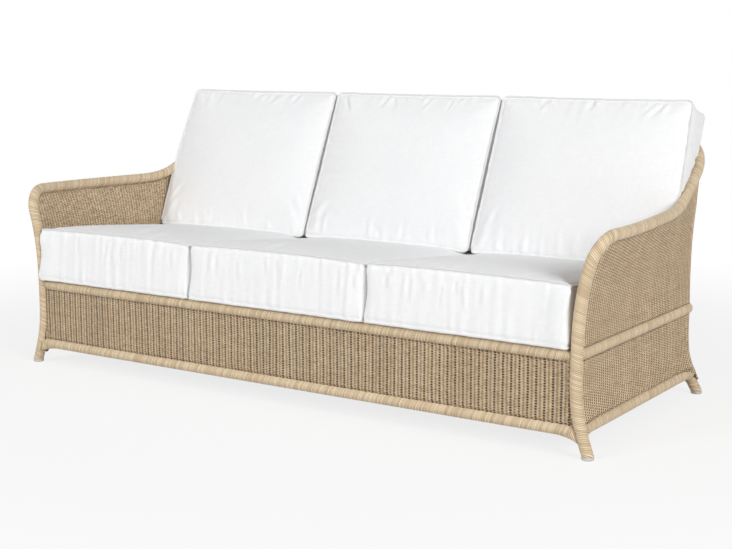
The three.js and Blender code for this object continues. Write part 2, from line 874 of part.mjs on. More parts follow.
const addFoot = group();
for (const { name, sign } of sides) {
  const inward = new THREE.Vector3(-sign, 0, 0);
  const rearward = new THREE.Vector3(0, 1, 0);
  const frontPost = (height) => surfacePoint(sign, 0, height);
  const rearPost = (height) => rearPostPoint(sign, height);
  const sideRail = sideLowerRailPath(sign);
  const webs = {
    front_web: webGeometry(frontPost, frontLowerRailPath, inward, longWebLength),
    front_side_web: webGeometry(frontPost, sideRail, rearward, shortWebLength),
    rear_side_web: webGeometry(rearPost, sideRail, rearward.clone().negate(), shortWebLength),
    rear_web: webGeometry(rearPost, backLowerRailPath, inward, longWebLength),
  };
  for (const [web, geometry] of Object.entries(webs)) {
    addFoot(`${name}_${web}`, geometry, wrappedCord);
  }
  const feet = { front: frontPost(footBottom), rear: rearPost(footBottom) };
  for (const [end, foot] of Object.entries(feet)) {
    const glide = addFoot(`${name}_${end}_glide`, glideGeometry(), glidePlastic);
    glide.position.set(foot.x, foot.y, 0);
  }
}

const addWeave = group();
addWeave("front_apron_weave", apronGeometry(), wovenCord);
addWeave("back_lower_weave", lowerWeaveGeometry(backColumns), wovenCord);
addWeave("back_upper_weave", upperWeaveGeometry(backColumns), wovenCord);
for (const { name, sign } of sides) {
  const lower = lowerSideStations.map((station) => [sign, station]);
  const upper = upperSideStations.map((station) => [sign, station]);
  addWeave(`${name}_lower_weave`, lowerWeaveGeometry(lower), wovenCord);
  addWeave(`${name}_upper_weave`, upperWeaveGeometry(upper), wovenCord);
}

const addDeck = group();
const deckFront = deckBarGeometry(deckFrontY, deckFrontY + deckBarSize);
const deckBack = deckBarGeometry(deckBackY - deckBarSize, deckBackY);
addDeck("deck_front_bar", deckFront, coatedTube);
addDeck("deck_back_bar", deckBack, coatedTube);
for (const { name, sign } of sides) {
  const bearer = addDeck(`${name}_deck_bearer`, bearerGeometry(), coatedTube);
  bearer.position.x = sign * seamOffset;
}
for (const { name, middleX } of seats) {
  for (let i = 0; i < strapsPerSeat; i++) {
    const strap = addDeck(`${name}_strap_${i + 1}`, strapGeometry(), webbing);
    strap.position.x = middleX + (i - (strapsPerSeat - 1) / 2) * strapPitch;
  }
}

const addCushion = group();
seats.forEach((seat, i) => {
  addCushion(`${seat.name}_seat_cushion`, seatCushionGeometry(seat), cushionFabric);
  addCushion(`${seat.name}_back_cushion`, backCushionGeometry(backs[i]), cushionFabric);
});

// The origin is on the floor under the middle of the sofa.
const bounds = new THREE.Box3().setFromObject(sofa);
const middle = bounds.getCenter(new THREE.Vector3());
sofa.position.set(-middle.x, -middle.y, -bounds.min.z);

export default sofa;
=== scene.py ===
import math

import bmesh
import bpy
import numpy as np
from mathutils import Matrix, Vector

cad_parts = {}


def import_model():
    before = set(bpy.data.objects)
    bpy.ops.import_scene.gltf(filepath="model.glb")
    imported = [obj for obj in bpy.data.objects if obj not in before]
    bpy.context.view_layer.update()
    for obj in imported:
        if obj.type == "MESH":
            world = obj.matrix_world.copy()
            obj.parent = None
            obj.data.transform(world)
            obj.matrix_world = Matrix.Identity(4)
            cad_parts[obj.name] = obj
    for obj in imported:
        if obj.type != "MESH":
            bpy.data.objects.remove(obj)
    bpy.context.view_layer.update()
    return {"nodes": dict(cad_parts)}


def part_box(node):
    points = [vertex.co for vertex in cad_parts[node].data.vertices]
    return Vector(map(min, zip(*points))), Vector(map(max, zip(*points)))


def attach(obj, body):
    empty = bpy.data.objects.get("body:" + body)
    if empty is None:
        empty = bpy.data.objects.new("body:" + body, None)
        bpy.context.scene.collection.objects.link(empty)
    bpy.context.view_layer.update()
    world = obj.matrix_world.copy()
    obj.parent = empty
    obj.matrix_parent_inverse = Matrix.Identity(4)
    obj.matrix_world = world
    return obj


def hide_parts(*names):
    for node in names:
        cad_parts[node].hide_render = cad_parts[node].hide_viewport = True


# Looks of a three-seat garden sofa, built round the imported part. Metres, +Z up, the sitter
# faces -Y. Every curve repeats the part's own frame surface, with finer steps.

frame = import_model()

# Driving dimensions, the same as the part's
TUBE_RADIUS = 0.0165
WAIST_HALF_WIDTH, FRONT_Y, WAIST_BACK_Y = 0.997, -0.420, 0.412
LOWER_RAIL_HEIGHT, WAIST_HEIGHT, SEAT_RAIL_HEIGHT = 0.072, 0.200, 0.276
ARM_HEIGHT, BACK_RAIL_HEIGHT = 0.595, 0.782
SIDE_SPLAY, REAR_SPLAY = 0.022, 0.011
ARM_FLARE, REAR_FLARE, BACK_LEAN = 0.071, 0.007, 0.093
WIDEST_ARM_Y, FLARE_END_Y, CLIMB_START_Y = -0.305, 0.440, 0.075
SHOULDER_RADIUS, LOW_CORNER_RADIUS, HIGH_CORNER_RADIUS = 0.075, 0.038, 0.081
FOOT_KICK_HEIGHT, FRONT_KICK, REAR_KICK_X, REAR_KICK_Y = 0.140, 0.021, 0.032, 0.022
KICK_LENGTH = 0.130
FRONT_FLARE_SHARE = 0.88
SPLAY_POWER, FLARE_POWER, LEAN_POWER, CLIMB_POWER, CROWN_POWER = 1.5, 3.2, 3, 1.84, 2.4
WEAVE_STAND_OFF, WEAVE_THICKNESS, WEAVE_CORNER_DROP = 0.002, 0.005, 0.030
POST_INSET = 0.0148
GLIDE_HEIGHT, GLIDE_RADIUS = 0.009, 0.0175
FOOT_BOTTOM = 0.0093
FIT_GAP, SIDE_GAP = 0.0003, 0.002
SEAM_OFFSET, OUTER_X, BACK_OUTER_X = 0.3315, 0.9785, 0.9925
SEAT_PITCH = math.radians(5.2)
SEAT_FRONT_Y, SEAT_BOTTOM, SEAT_THICKNESS, SEAT_CROWN = -0.4475, 0.2928, 0.175, 0.024
BACK_THICKNESS, BACK_SETBACK, BACK_TOP = 0.110, 0.620, 0.919
BACK_LEAN_ANGLE = math.radians(23.7)
BACK_CROWN, BACK_REAR_CROWN = 0.038, 0.036
EDGE_RADIUS, CORNER_RADIUS = 0.014, 0.030
PEAK_SHARE, FALL_POWER = 0.25, 1.3

# The cushions' covers: the mesh, how far a soft edge and the filled cloth may reach, and the seams
COVER_CELL, COVER_EDGE_LINES = 0.0125, (0.0, 0.004, 0.009, 0.016)
SOFT_EDGE, SOFT_LIMIT, FILL_CAP, BACK_GAP = 0.010, 0.004, 0.016, 0.004
SEAM_RADIUS, SEAM_LIFT, SEAM_SIDES = 0.0028, 0.35, 6
SEAM_BOW, SEAM_BOW_REACH, CORNER_FALL, CORNER_FALL_SHARE = 0.006, 0.20, 0.024, 0.6
BOXING_SLACK, START_FULLNESS, START_NOISE = 0.020, 0.8, 0.0005
SEAM_HOLD, SEAM_SHARPNESS = 0.6, 0.7

# How an outer seat swells round the front post, with the widths over which that fades: at its
# foot, under its top, towards its end for push and swell, and to the rear of its front
POST_PUSH, POST_SWELL, WAIST_SWELL = 0.008, {-1: 0.024, 1: 0.009}, {-1: 0.012, 1: 0.0}
FOOT_FADE, TOP_FADE, PUSH_FADE, SWELL_FADE, FRONT_FADE = 0.012, 0.05, 0.09, 0.045, 0.020

# How a back cushion sags onto its seat, and an outer one swells against the arm
SAG_START, SAG_LIMIT, SAG_REACH = 0.002, 0.03, 0.10
FOOT_SWELL, ARM_SWELL, ARM_FADE, REAR_SWELL_SHARE = 0.009, 0.013, 0.12, 0.35
TUBE_MARGIN = 0.0012

# Gathers: spacing, reach from the seam, and depth. A groove runs beside each seam.
GATHERS = ((0.030, 0.042, 0.0016), (0.046, 0.075, 0.0021), (0.017, 0.018, 0.0008))
GATHER_START, BOXING_GATHER, FACE_GATHER = 0.010, 1.25, 0.8
GROOVE_DEPTH, GROOVE_AT, GROOVE_WIDTH = 0.0022, 0.0070, 0.0045

CLOTH_FRAMES = 20
CLOTH = {
    "quality": 5, "mass": 0.25, "tension_stiffness": 18, "compression_stiffness": 18, "shear_stiffness": 8,
    "bending_stiffness": 0.35, "tension_damping": 6, "compression_damping": 6, "shear_damping": 6,
    "vertex_group_mass": "hold", "pin_stiffness": 1.0, "use_pressure": True, "uniform_pressure_force": 3.0,
    "vertex_group_shrink": "slack", "shrink_min": 0.0, "shrink_max": -0.014,
}

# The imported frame's shift along Y from the part's working frame
low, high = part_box("front_seat_rail")
SHIFT = np.array([0.0, (low.y + high.y) / 2 - FRONT_Y, 0.0])

# Cord and weave. The rows of holes are wider than in the photograph, so that they show.
STAKE_PITCH, ROW_PITCH, CORD_PITCH = 0.0125, 0.0037, 0.0050
CORD_SLOPE = 7 * CORD_PITCH / (2 * math.pi * TUBE_RADIUS)
# how far the painted shade beside a joint reaches, and how a tucked end thins
JOINT_SHADE_REACH, TUCK_DEPTH, TUCK_LENGTH = 0.0055, 0.0045, 0.020
WEB_DROP, WEB_HALF, FRONT_WEB_REACH, SIDE_WEB_REACH = 0.038, 0.0135, 0.098, 0.058
WEB_TAPER = 0.20
STAKES_EVEN_HEIGHT, APRON_OVERLAP = 0.34, 0.010

# Light, and the camera that was fitted to the photograph
SOFT_LIGHT, LAMP_TARGET = 0.31, (0, 0, 0.4)
EYE, EYE_YAW, EYE_PITCH = (2.4859, -3.642, 1.0789), 0.5894, 0.1655
FOCAL_PIXELS, PICTURE_WIDTH = 1366.67, 732

SIDES = (("left", -1), ("right", 1))


# The frame surface, on arrays of stations and heights

def clamp(value):
    return np.clip(value, 0.0, 1.0)


def smooth(value):
    value = clamp(value)
    return value * value * (3 - 2 * value)


def below_waist(height):
    return clamp((WAIST_HEIGHT - height) / WAIST_HEIGHT) ** SPLAY_POWER


def flare_along_arm(y):
    toward_widest = smooth((y - FRONT_Y) / (WIDEST_ARM_Y - FRONT_Y))
    toward_rear = smooth((y - WIDEST_ARM_Y) / (FLARE_END_Y - WIDEST_ARM_Y))
    front = FRONT_FLARE_SHARE + (1 - FRONT_FLARE_SHARE) * toward_widest
    return ARM_FLARE * front - (ARM_FLARE - REAR_FLARE) * toward_rear


def side_x(y, height):
    rise = clamp((height - WAIST_HEIGHT) / (ARM_HEIGHT - WAIST_HEIGHT))
    return WAIST_HALF_WIDTH + SIDE_SPLAY * below_waist(height) + flare_along_arm(y) * rise ** FLARE_POWER


def back_rise(height):
    return clamp((height - SEAT_RAIL_HEIGHT) / (BACK_RAIL_HEIGHT - SEAT_RAIL_HEIGHT))


def back_y(height):
    return WAIST_BACK_Y + REAR_SPLAY * below_waist(height) + BACK_LEAN * back_rise(height) ** LEAN_POWER


def corner_radius(height):
    return LOW_CORNER_RADIUS + (HIGH_CORNER_RADIUS - LOW_CORNER_RADIUS) * back_rise(height)


SIDE_LENGTH = float(back_y(SEAT_RAIL_HEIGHT) - corner_radius(SEAT_RAIL_HEIGHT) - FRONT_Y)
KICK_SHARE = KICK_LENGTH / SIDE_LENGTH
SHOULDER_SHARE = SHOULDER_RADIUS / SIDE_LENGTH


def kick_at(distance, height):
    kick = clamp((FOOT_KICK_HEIGHT - height) / FOOT_KICK_HEIGHT) ** SPLAY_POWER
    return kick * (1 - smooth(distance / KICK_SHARE))


def surface(side, station, height):
    """Points of the frame surface. A station runs from 0 at a front post, over 1 and 2 at the
    ends of the rear corner, to 3 at the middle of the back."""
    station, height = np.broadcast_arrays(np.asarray(station, float), np.asarray(height, float))
    radius = corner_radius(height)
    corner_y = back_y(height) - radius
    corner_x = side_x(corner_y, height) - radius
    turn = clamp(station - 1) * math.pi / 2
    x = corner_x + radius * np.cos(turn)
    y = corner_y + radius * np.sin(turn)
    side_y = FRONT_Y + station * (corner_y - FRONT_Y)
    y = np.where(station < 1, side_y, y)
    x = np.where(station < 1, side_x(side_y, height), x)
    x = np.where(station > 2, corner_x * (3 - station), x)
    rear_kick = kick_at(np.maximum(np.maximum(1 - station, station - 2), 0), height)
    x = x + FRONT_KICK * kick_at(station, height) + REAR_KICK_X * rear_kick
    y = y + REAR_KICK_Y * rear_kick
    return np.stack([side * x, y, height], -1)


def surface_normal(side, station, height):
    step = 1e-4
    along = surface(side, station + step, height) - surface(side, station - step, height)
    upward = surface(side, station, height + step) - surface(side, station, height - step)
    normal = np.cross(along, upward) * side
    return normal / np.linalg.norm(normal, axis=-1, keepdims=True)


def hoop_height(station):
    station = np.asarray(station, float)
    y = FRONT_Y + np.minimum(station, 1) * SIDE_LENGTH
    into = FRONT_Y + SHOULDER_RADIUS - y
    start = ARM_HEIGHT - SHOULDER_RADIUS
    shoulder = start + np.sqrt(np.maximum(0, SHOULDER_RADIUS ** 2 - np.maximum(into, 0) ** 2))
    side_part = FRONT_Y + SIDE_LENGTH - CLIMB_START_Y
    corner_part = HIGH_CORNER_RADIUS * math.pi / 2
    climbed = y - CLIMB_START_Y + clamp(station - 1) * corner_part
    climb = clamp(climbed / (side_part + corner_part)) ** CLIMB_POWER
    level = ARM_HEIGHT + (BACK_RAIL_HEIGHT - ARM_HEIGHT) * smooth(climb)
    return np.where(into > 0, shoulder, level)


# Paths of the tubes

def lengths_along(points):
    """The length from the start of a path to each of its points."""
    return np.r_[0, np.cumsum(np.linalg.norm(np.diff(points, axis=0), axis=1))]


def resample(points, step=0.006):
    points = np.asarray(points, float)
    lengths = lengths_along(points)
    count = max(2, int(round(lengths[-1] / step)) + 1)
    at = np.linspace(0, lengths[-1], count)
    return np.stack([np.interp(at, lengths, points[:, k]) for k in range(3)], -1)


def hoop_path(side):
    heights = np.linspace(FOOT_BOTTOM, ARM_HEIGHT - SHOULDER_RADIUS, 90)
    post = surface(side, 0 * heights, heights)
    turn = np.linspace(0, math.pi / 2, 30)[1:]
    station = SHOULDER_SHARE * (1 - np.cos(turn))
    shoulder = surface(side, station, ARM_HEIGHT - SHOULDER_RADIUS + SHOULDER_RADIUS * np.sin(turn))
    station = np.r_[np.linspace(SHOULDER_SHARE, 1, 120)[1:], np.linspace(1, 2, 40)[1:]]
    arm = surface(side, station, hoop_height(station))
    return resample(np.vstack([post, shoulder, arm, arm[-1] - [side * TUBE_RADIUS, 0, 0]]))


def front_post_point(side, height):
    return surface(side, 0, height)


def rear_post_point(side, height):
    point = surface(side, 1.5, height)
    normal = surface_normal(side, 1.5, height)
    level = normal * [1, 1, 0]
    return point - level * POST_INSET / (level @ level)


def rear_post_path(side):
    heights = np.linspace(FOOT_BOTTOM, 0.30, 50)
    return resample([rear_post_point(side, h) for h in heights])


def seat_rail_path(side):
    station = np.r_[0, np.linspace(0.02, 1, 60), np.linspace(1, 2, 40)[1:]]
    points = surface(side, station, 0 * station + SEAT_RAIL_HEIGHT)
    return resample(np.vstack([points, points[-1] - [side * TUBE_RADIUS, 0, 0]]))


def lower_rail_path(side):
    rear = rear_post_point(side, LOWER_RAIL_HEIGHT)
    rear[0] = side * side_x(FRONT_Y, LOWER_RAIL_HEIGHT)
    return resample([[rear[0], FRONT_Y, rear[2]], rear])


def across(end):
    return resample([[-end[0], end[1], end[2]], end])


back_foot = [rear_post_point(1, LOWER_RAIL_HEIGHT)[0], back_y(LOWER_RAIL_HEIGHT), LOWER_RAIL_HEIGHT]
paths = {
    "front_seat_rail": across(surface(1, 0, SEAT_RAIL_HEIGHT)),
    "front_lower_rail": across(surface(1, 0, LOWER_RAIL_HEIGHT)),
    "back_seat_rail": across(seat_rail_path(1)[-1]),
    "back_top_rail": across(hoop_path(1)[-1]),
    "back_lower_rail": across(back_foot),
}
for name, sign in SIDES:
    paths[f"{name}_arm_hoop"] = hoop_path(sign)
    paths[f"{name}_rear_post"] = rear_post_path(sign)
    paths[f"{name}_seat_rail"] = seat_rail_path(sign)
    paths[f"{name}_lower_rail"] = lower_rail_path(sign)


def nearest(points, path, radius=TUBE_RADIUS):
    """For each point, its distance from a tube's surface and the length along the tube there."""
    starts, ends, lengths = path[:-1], path[1:], lengths_along(path)
    best = np.full(len(points), 1e9)
    along = np.zeros(len(points))
    step = 8
    coarse = path[::step]
    gaps = np.linalg.norm(points[:, None, :] - coarse[None], axis=2)
    close = gaps.argmin(1) * step
    for offset in range(-step, step + 1):
        i = np.clip(close + offset, 0, len(starts) - 1)
        run = ends[i] - starts[i]
        t = clamp(((points - starts[i]) * run).sum(1) / (run * run).sum(1))
        gap = np.linalg.norm(points - starts[i] - run * t[:, None], axis=1)
        nearer = gap < best
        best[nearer] = gap[nearer]
        along[nearer] = (lengths[i] + t * np.linalg.norm(run, axis=1))[nearer]
    return best - radius, along


# Meshes

def new_mesh(name, points, faces, uvs=None):
    mesh = bpy.data.meshes.new(name)
    mesh.from_pydata(np.asarray(points, float).tolist(), [], [tuple(int(i) for i in f) for f in faces])
    if uvs is not None:
        layer = mesh.uv_layers.new(name="UVMap")
        layer.data.foreach_set("uv", np.asarray(uvs, np.float32).ravel())
    mesh.polygons.foreach_set("use_smooth", [True] * len(mesh.polygons))
    mesh.update()
    piece = bpy.data.objects.new(name, mesh)
    bpy.context.scene.collection.objects.link(piece)
    return piece


def vertices_of(piece):
    points = np.zeros(len(piece.data.vertices) * 3, np.float32)
    piece.data.vertices.foreach_get("co", points)
    return points.reshape(-1, 3).astype(float)


def normals_of(piece):
    return np.array([v.normal for v in piece.data.vertices])


def move_vertices(piece, points):
    piece.data.vertices.foreach_set("co", points.astype(np.float32).ravel())
    piece.data.update()


def edit_mesh(piece, change):
    """Opens the piece's mesh for editing, calls change on it and writes it back."""
    mesh = bmesh.new()
    mesh.from_mesh(piece.data)
    change(mesh)
    mesh.to_mesh(piece.data)
    mesh.free()


def paint(piece, *materials):
    piece.data.materials.clear()
    for material in materials:
        piece.data.materials.append(material)


def attribute(piece, name, values):
    layer = piece.data.attributes.new(name, "FLOAT", "POINT")
    layer.data.foreach_set("value", np.asarray(values, np.float32))


class Strip:
    """Gathers faces with a UV for each corner."""

    def __init__(self):
        self.points, self.faces, self.uvs = [], [], []

    def grid(self, points, uv, flip=False):
        rows, columns = points.shape[:2]
        base = len(self.points)
        self.points.extend(points.reshape(-1, 3).tolist())
        flat = uv.reshape(-1, 2)
        for i in range(rows - 1):
            for j in range(columns - 1):
                a = i * columns + j
                quad = [a, a + 1, a + columns + 1, a + columns]
                if flip:
                    quad.reverse()
                self.faces.append([base + k for k in quad])
                self.uvs.extend(flat[quad].tolist())

    def fan(self, ring, uv, flip=False):
        base = len(self.points)
        self.points.extend(ring.tolist() + [ring.mean(0).tolist()])
        middle, count = base + len(ring), len(ring)
        centre = uv.mean(0).tolist()
        for i in range(count - 1):
            tri = [base + i, base + i + 1, middle]
            corner = [uv[i].tolist(), uv[i + 1].tolist(), centre]
            if flip:
                tri.reverse()
                corner.reverse()
            self.faces.append(tri)
            self.uvs.extend(corner)

    def piece(self, name):
        made = new_mesh(name, self.points, self.faces, self.uvs)
        edit_mesh(made, lambda mesh: bmesh.ops.remove_doubles(mesh, verts=mesh.verts, dist=1e-6))
        return made


def rings_along(path, radius, sides, first=None):
    """Rings of a round bar, with the first point repeated at the end of each ring."""
    tangent = np.gradient(path, axis=0)
    tangent /= np.linalg.norm(tangent, axis=1)[:, None]
    if first is not None:
        tangent[0] = first
    spoke = np.array([0.0, 1.0, 1.0])
    angles = np.linspace(0, 2 * math.pi, sides + 1)
    rings = []
    radius = np.broadcast_to(radius, len(path))
    for point, direction, size in zip(path, tangent, radius):
        spoke = spoke - direction * (spoke @ direction)
        spoke /= np.linalg.norm(spoke)
        over = np.cross(direction, spoke)
        rings.append(point + size * (np.cos(angles)[:, None] * spoke + np.sin(angles)[:, None] * over))
    return np.array(rings)


def tube(name, path, first=None, tucks="", sides=28):
    """A wrapped tube. Its start (s) or end (e) is a little thinner where it tucks in behind a
    post's own wrapping."""
    lengths = lengths_along(path)
    radius = np.full(len(path), TUBE_RADIUS)
    for letter, distance in (("s", lengths), ("e", lengths[-1] - lengths)):
        if letter in tucks:
            radius -= TUCK_DEPTH * (1 - smooth((distance - TUBE_RADIUS) / TUCK_LENGTH))
    rings = rings_along(path + SHIFT, radius, sides, first)
    around = np.linspace(0, 2 * math.pi * TUBE_RADIUS, sides + 1)
    uv = np.stack(np.broadcast_arrays(lengths[:, None], around[None]), -1)
    strip = Strip()
    strip.grid(rings, uv)
    strip.fan(rings[0], uv[0])
    strip.fan(rings[-1], uv[-1], flip=True)
    return strip.piece(name)


# Node materials

class Signal:
    """A node's output, which can be used in plain sums."""

    def __init__(self, nodes, socket):
        self.nodes, self.socket = nodes, socket

    def __add__(self, other):
        return self.nodes.math("ADD", self, other)

    def __sub__(self, other):
        return self.nodes.math("SUBTRACT", self, other)

    def __rsub__(self, other):
        return self.nodes.math("SUBTRACT", other, self)

    def __mul__(self, other):
        return self.nodes.math("MULTIPLY", self, other)

    def __truediv__(self, other):
        return self.nodes.math("DIVIDE", self, other)

    def __mod__(self, other):
        return self.nodes.math("MODULO", self, other)

    def __pow__(self, other):
        return self.nodes.math("POWER", self, other)

    def __abs__(self):
        return self.nodes.math("ABSOLUTE", self)

    def floor(self):
        return self.nodes.math("FLOOR", self)

    def fract(self):
        return self.nodes.math("FRACT", self)

    def sine(self, length):
        """A wave of the given length."""
        return self.nodes.math("SINE", self * (2 * math.pi / length))

    def at_least(self, other):
        return self.nodes.math("MAXIMUM", self, other)

    def at_most(self, other):
        return self.nodes.math("MINIMUM", self, other)

    def clamp(self):
        return self.at_most(1).at_least(0)

    def arch(self):
        """A parabola over each whole step, 1 at its middle and 0 at its ends."""
        off = self.fract() * 2 - 1
        return 1 - off * off

    def span(self, low, high, to_low=0.0, to_high=1.0):
        """A soft step from to_low to to_high, as the signal runs from low to high."""
        return Signal(self.nodes, self.nodes.node(
            "ShaderNodeMapRange", {"interpolation_type": "SMOOTHSTEP"}, Value=self,
            From_Min=low, From_Max=high, To_Min=to_low, To_Max=to_high).outputs[0])


class Nodes:
    """A node tree, with short calls for the nodes that its patterns are built from."""

    def __init__(self, owner, output):
        owner.use_nodes = True
        self.tree = owner.node_tree
        self.tree.nodes.clear()
        self.output = self.node(output)

    def node(self, kind, settings=None, **inputs):
        node = self.tree.nodes.new(kind)
        for key, value in (settings or {}).items():
            setattr(node, key, value)
        for key, value in inputs.items():
            self.feed(node.inputs[key.replace("_", " ")], value)
        return node

    def feed(self, socket, value):
        if isinstance(value, Signal):
            self.tree.links.new(value.socket, socket)
        else:
            socket.default_value = value

    def out(self, node, key=0):
        return Signal(self, node.outputs[key])

    def math(self, operation, *values):
        node = self.node("ShaderNodeMath", {"operation": operation})
        for socket, value in zip(node.inputs, values):
            self.feed(socket, value)
        return self.out(node)

    def place(self):
        return self.out(self.node("ShaderNodeTexCoord"), "Object")

    def seen(self):
        """1 for camera and glossy rays, 0 for the rays that light the scene."""
        path = self.node("ShaderNodeLightPath")
        return self.out(path, "Is Camera Ray").at_least(self.out(path, "Is Glossy Ray"))

    def close(self, share, first, second):
        """Sends a mix of two shaders to the output."""
        mix = self.node("ShaderNodeMixShader")
        for socket, value in zip(mix.inputs, (share, self.out(first), self.out(second))):
            self.feed(socket, value)
        self.feed(self.output.inputs["Surface"], self.out(mix))


class Look(Nodes):
    """A Principled material."""

    def __init__(self, name, roughness, **constants):
        self.material = bpy.data.materials.new(name)
        super().__init__(self.material, "ShaderNodeOutputMaterial")
        self.shader = self.node("ShaderNodeBsdfPrincipled", Roughness=roughness, **constants)
        self.feed(self.output.inputs["Surface"], self.out(self.shader))

    def uv(self):
        coordinate = self.out(self.node("ShaderNodeUVMap", {"uv_map": "UVMap"}))
        return self.split(coordinate)

    def split(self, vector):
        node = self.node("ShaderNodeSeparateXYZ", Vector=vector)
        return self.out(node, 0), self.out(node, 1)

    def attribute(self, name):
        return self.out(self.node("ShaderNodeAttribute", {"attribute_name": name}), "Fac")

    def vector(self, x, y, z=0.0):
        return self.out(self.node("ShaderNodeCombineXYZ", X=x, Y=y, Z=z))

    def noise(self, vector, scale, detail=2.0, roughness=0.5):
        return self.out(self.node("ShaderNodeTexNoise", Vector=vector, Scale=scale, Detail=detail,
                                  Roughness=roughness))

    def chance(self, *parts):
        """A number from 0 to 1 for each set of whole numbers."""
        settings = {"noise_dimensions": "3D"}
        return self.out(self.node("ShaderNodeTexWhiteNoise", settings, Vector=self.vector(*parts)))

    def mix(self, share, first, second, blend="MIX"):
        node = self.node("ShaderNodeMix", {"data_type": "RGBA", "blend_type": blend})
        for number, value in ((0, share), (6, first), (7, second)):
            self.feed(node.inputs[number], value)
        return self.out(node, 2)

    def shade(self, color, *factors):
        for factor in factors:
            color = self.mix(1.0, color, self.vector(factor, factor, factor), "MULTIPLY")
        return color

    def finish(self, color, height, strength=1.0, **others):
        """Sets the colour, the bump from a height in metres, and any other input."""
        bump = self.node("ShaderNodeBump", Height=height, Distance=1.0, Strength=strength)
        others.update(Base_Color=color, Normal=self.out(bump))
        for key, value in others.items():
            self.feed(self.shader.inputs[key.replace("_", " ")], value)
        return self.material


def srgb(red, green, blue):
    """A colour written as on the screen, from 0 to 255, as the linear values that a node takes."""
    parts = np.array([red, green, blue]) / 255
    return (*np.where(parts <= 0.04045, parts / 12.92, ((parts + 0.055) / 1.055) ** 2.4).tolist(), 1.0)


def wrapped_cord():
    """Flat cord wound on a tube: turns side by side, each with its own tone and its fibres. Painted
    shade darkens the grooves between the turns and the creases where tubes meet.
    """
    look = Look("wrapped_cord", 0.6, Sheen_Weight=0.08)
    along, around = look.uv()
    place = look.place()
    wound = around * CORD_SLOPE + along + look.noise(place, 60.0) * 0.0018
    turns = wound / CORD_PITCH
    body = turns.arch()
    fibres = look.noise(look.vector(wound * 2600, around * 60), 1.0, 3.0)
    flecks, patches = look.noise(place, 420.0), look.noise(place, 9.0, 3.0)
    tone = look.chance(turns.floor(), 1.0) * 0.50 + flecks * 0.28 + (fibres * 0.5 - 0.16)
    color = look.mix(tone.clamp(), srgb(192, 162, 122), srgb(255, 236, 204))
    color = look.mix(patches.span(0.45, 0.75, 0.0, 0.30), color, srgb(208, 184, 142))
    # each turn darker towards its edges, painted shade in the grooves between turns; and darker near a joint
    # with another tube, painted shade in the crease
    color = look.shade(color, body.span(0.0, 0.75, 0.26, 1.0), 1 - look.attribute("crease") * 0.55)
    return look.finish(color, body.at_least(0) ** 0.5 * 0.0008 + fibres * 0.00012)


def woven_cord():
    """Close weave of cord over stakes. Dark holes show in rows beside each stake, set off by half
    a step from one stake to the next; their dark is painted shade. Where the sheet is striped, the
    holes beside every other stake are weaker, every other stake carries a paler strand, and the
    whole sheet is darker, painted shade."""
    look = Look("woven_cord", 0.7, Sheen_Weight=0.05)
    along, upward = look.uv()
    place = look.place()
    jitter = look.noise(place, 110.0) * 0.0022
    wander = look.noise(place, 14.0) * 0.005 + jitter
    x, y = (along + wander) / STAKE_PITCH, (upward + jitter) / ROW_PITCH
    column, row, beside = x.floor(), y.floor(), (x + 0.5).floor()
    middle, body = abs(x.fract() - 0.5), y.arch()
    odd, striped_and_shaded = abs(beside) % 2, look.attribute("strand")
    patches, knot = look.noise(place, 5.0, 4.0, 0.6), look.chance(row, column, 9.0)

    step = y * 0.5 + odd * 0.5
    loose = look.chance(beside, step.floor(), 5.0) * 0.75 + patches.span(0.35, 0.7, -0.05, 0.35)
    hole = middle.span(0.15, 0.29) * abs(step.fract() - 0.5).span(0.35, 0.23)
    hole = hole * (loose + 0.62).at_most(1) * (1 - (1 - odd) * (striped_and_shaded * 0.55))

    shade = look.chance(row, (x * 0.11).floor(), 3.0)
    tone = shade * 0.25 + knot * 0.55 + (patches * 0.6 - 0.2)
    color = look.mix(tone.clamp(), srgb(199, 167, 128), srgb(255, 227, 187))
    strand = abs(column) % 2 * middle.span(0.26, 0.08) * striped_and_shaded * (knot * 0.7 + 0.25)
    color = look.mix(strand, color, srgb(234, 212, 180))
    # darker where the sheet dips between columns and at the edges of each row, painted shade; the striped
    # apron is darker as a whole, painted shade too. The random factor per column is the cords' own tone.
    color = look.shade(color, middle.span(0.20, 0.46, 1.0, 0.76), look.chance(column, 13.0) * 0.16 + 0.90,
                       striped_and_shaded * -0.25 + 1, body.span(0.0, 0.6, 0.80, 1.0))
    # the holes painted dark: painted shade where the sheet opens between cords
    color = look.mix(hole * 0.97, color, srgb(46, 30, 16))

    # the inner face shows the cords' backs, a finer and plainer speckle
    fleck = look.chance((x * 2).floor(), row, 7.0).span(0.05, 0.95)
    speckle = look.mix(fleck, srgb(162, 135, 105), srgb(228, 206, 175))
    color = look.mix(look.attribute("inside") * 0.55, color, speckle)

    # dark slots where the sheet is tied to a tube: painted shade in the gaps beside the tube
    edge, beats = look.attribute("edge"), (look.attribute("stitch") + wander) / STAKE_PITCH
    near = edge.span(0.0005, 0.0018) * edge.span(0.0068, 0.0046)
    dash = beats.fract().span(0.20, 0.36) * beats.fract().span(0.88, 0.68)
    slot = near * (dash * (look.chance(beats.floor(), 2.0) * 0.6 + 0.4))
    color = look.mix(slot * 0.9, color, srgb(58, 38, 20))
    # the sheet darker right beside a tube: painted shade
    color = look.shade(color, edge.span(0.0, 0.006, 0.85, 1.0))
    height = middle * -0.0016 + body.at_least(0) * 0.0008 - hole.at_least(slot) * 0.0018
    return look.finish(color, height, strength=0.9)


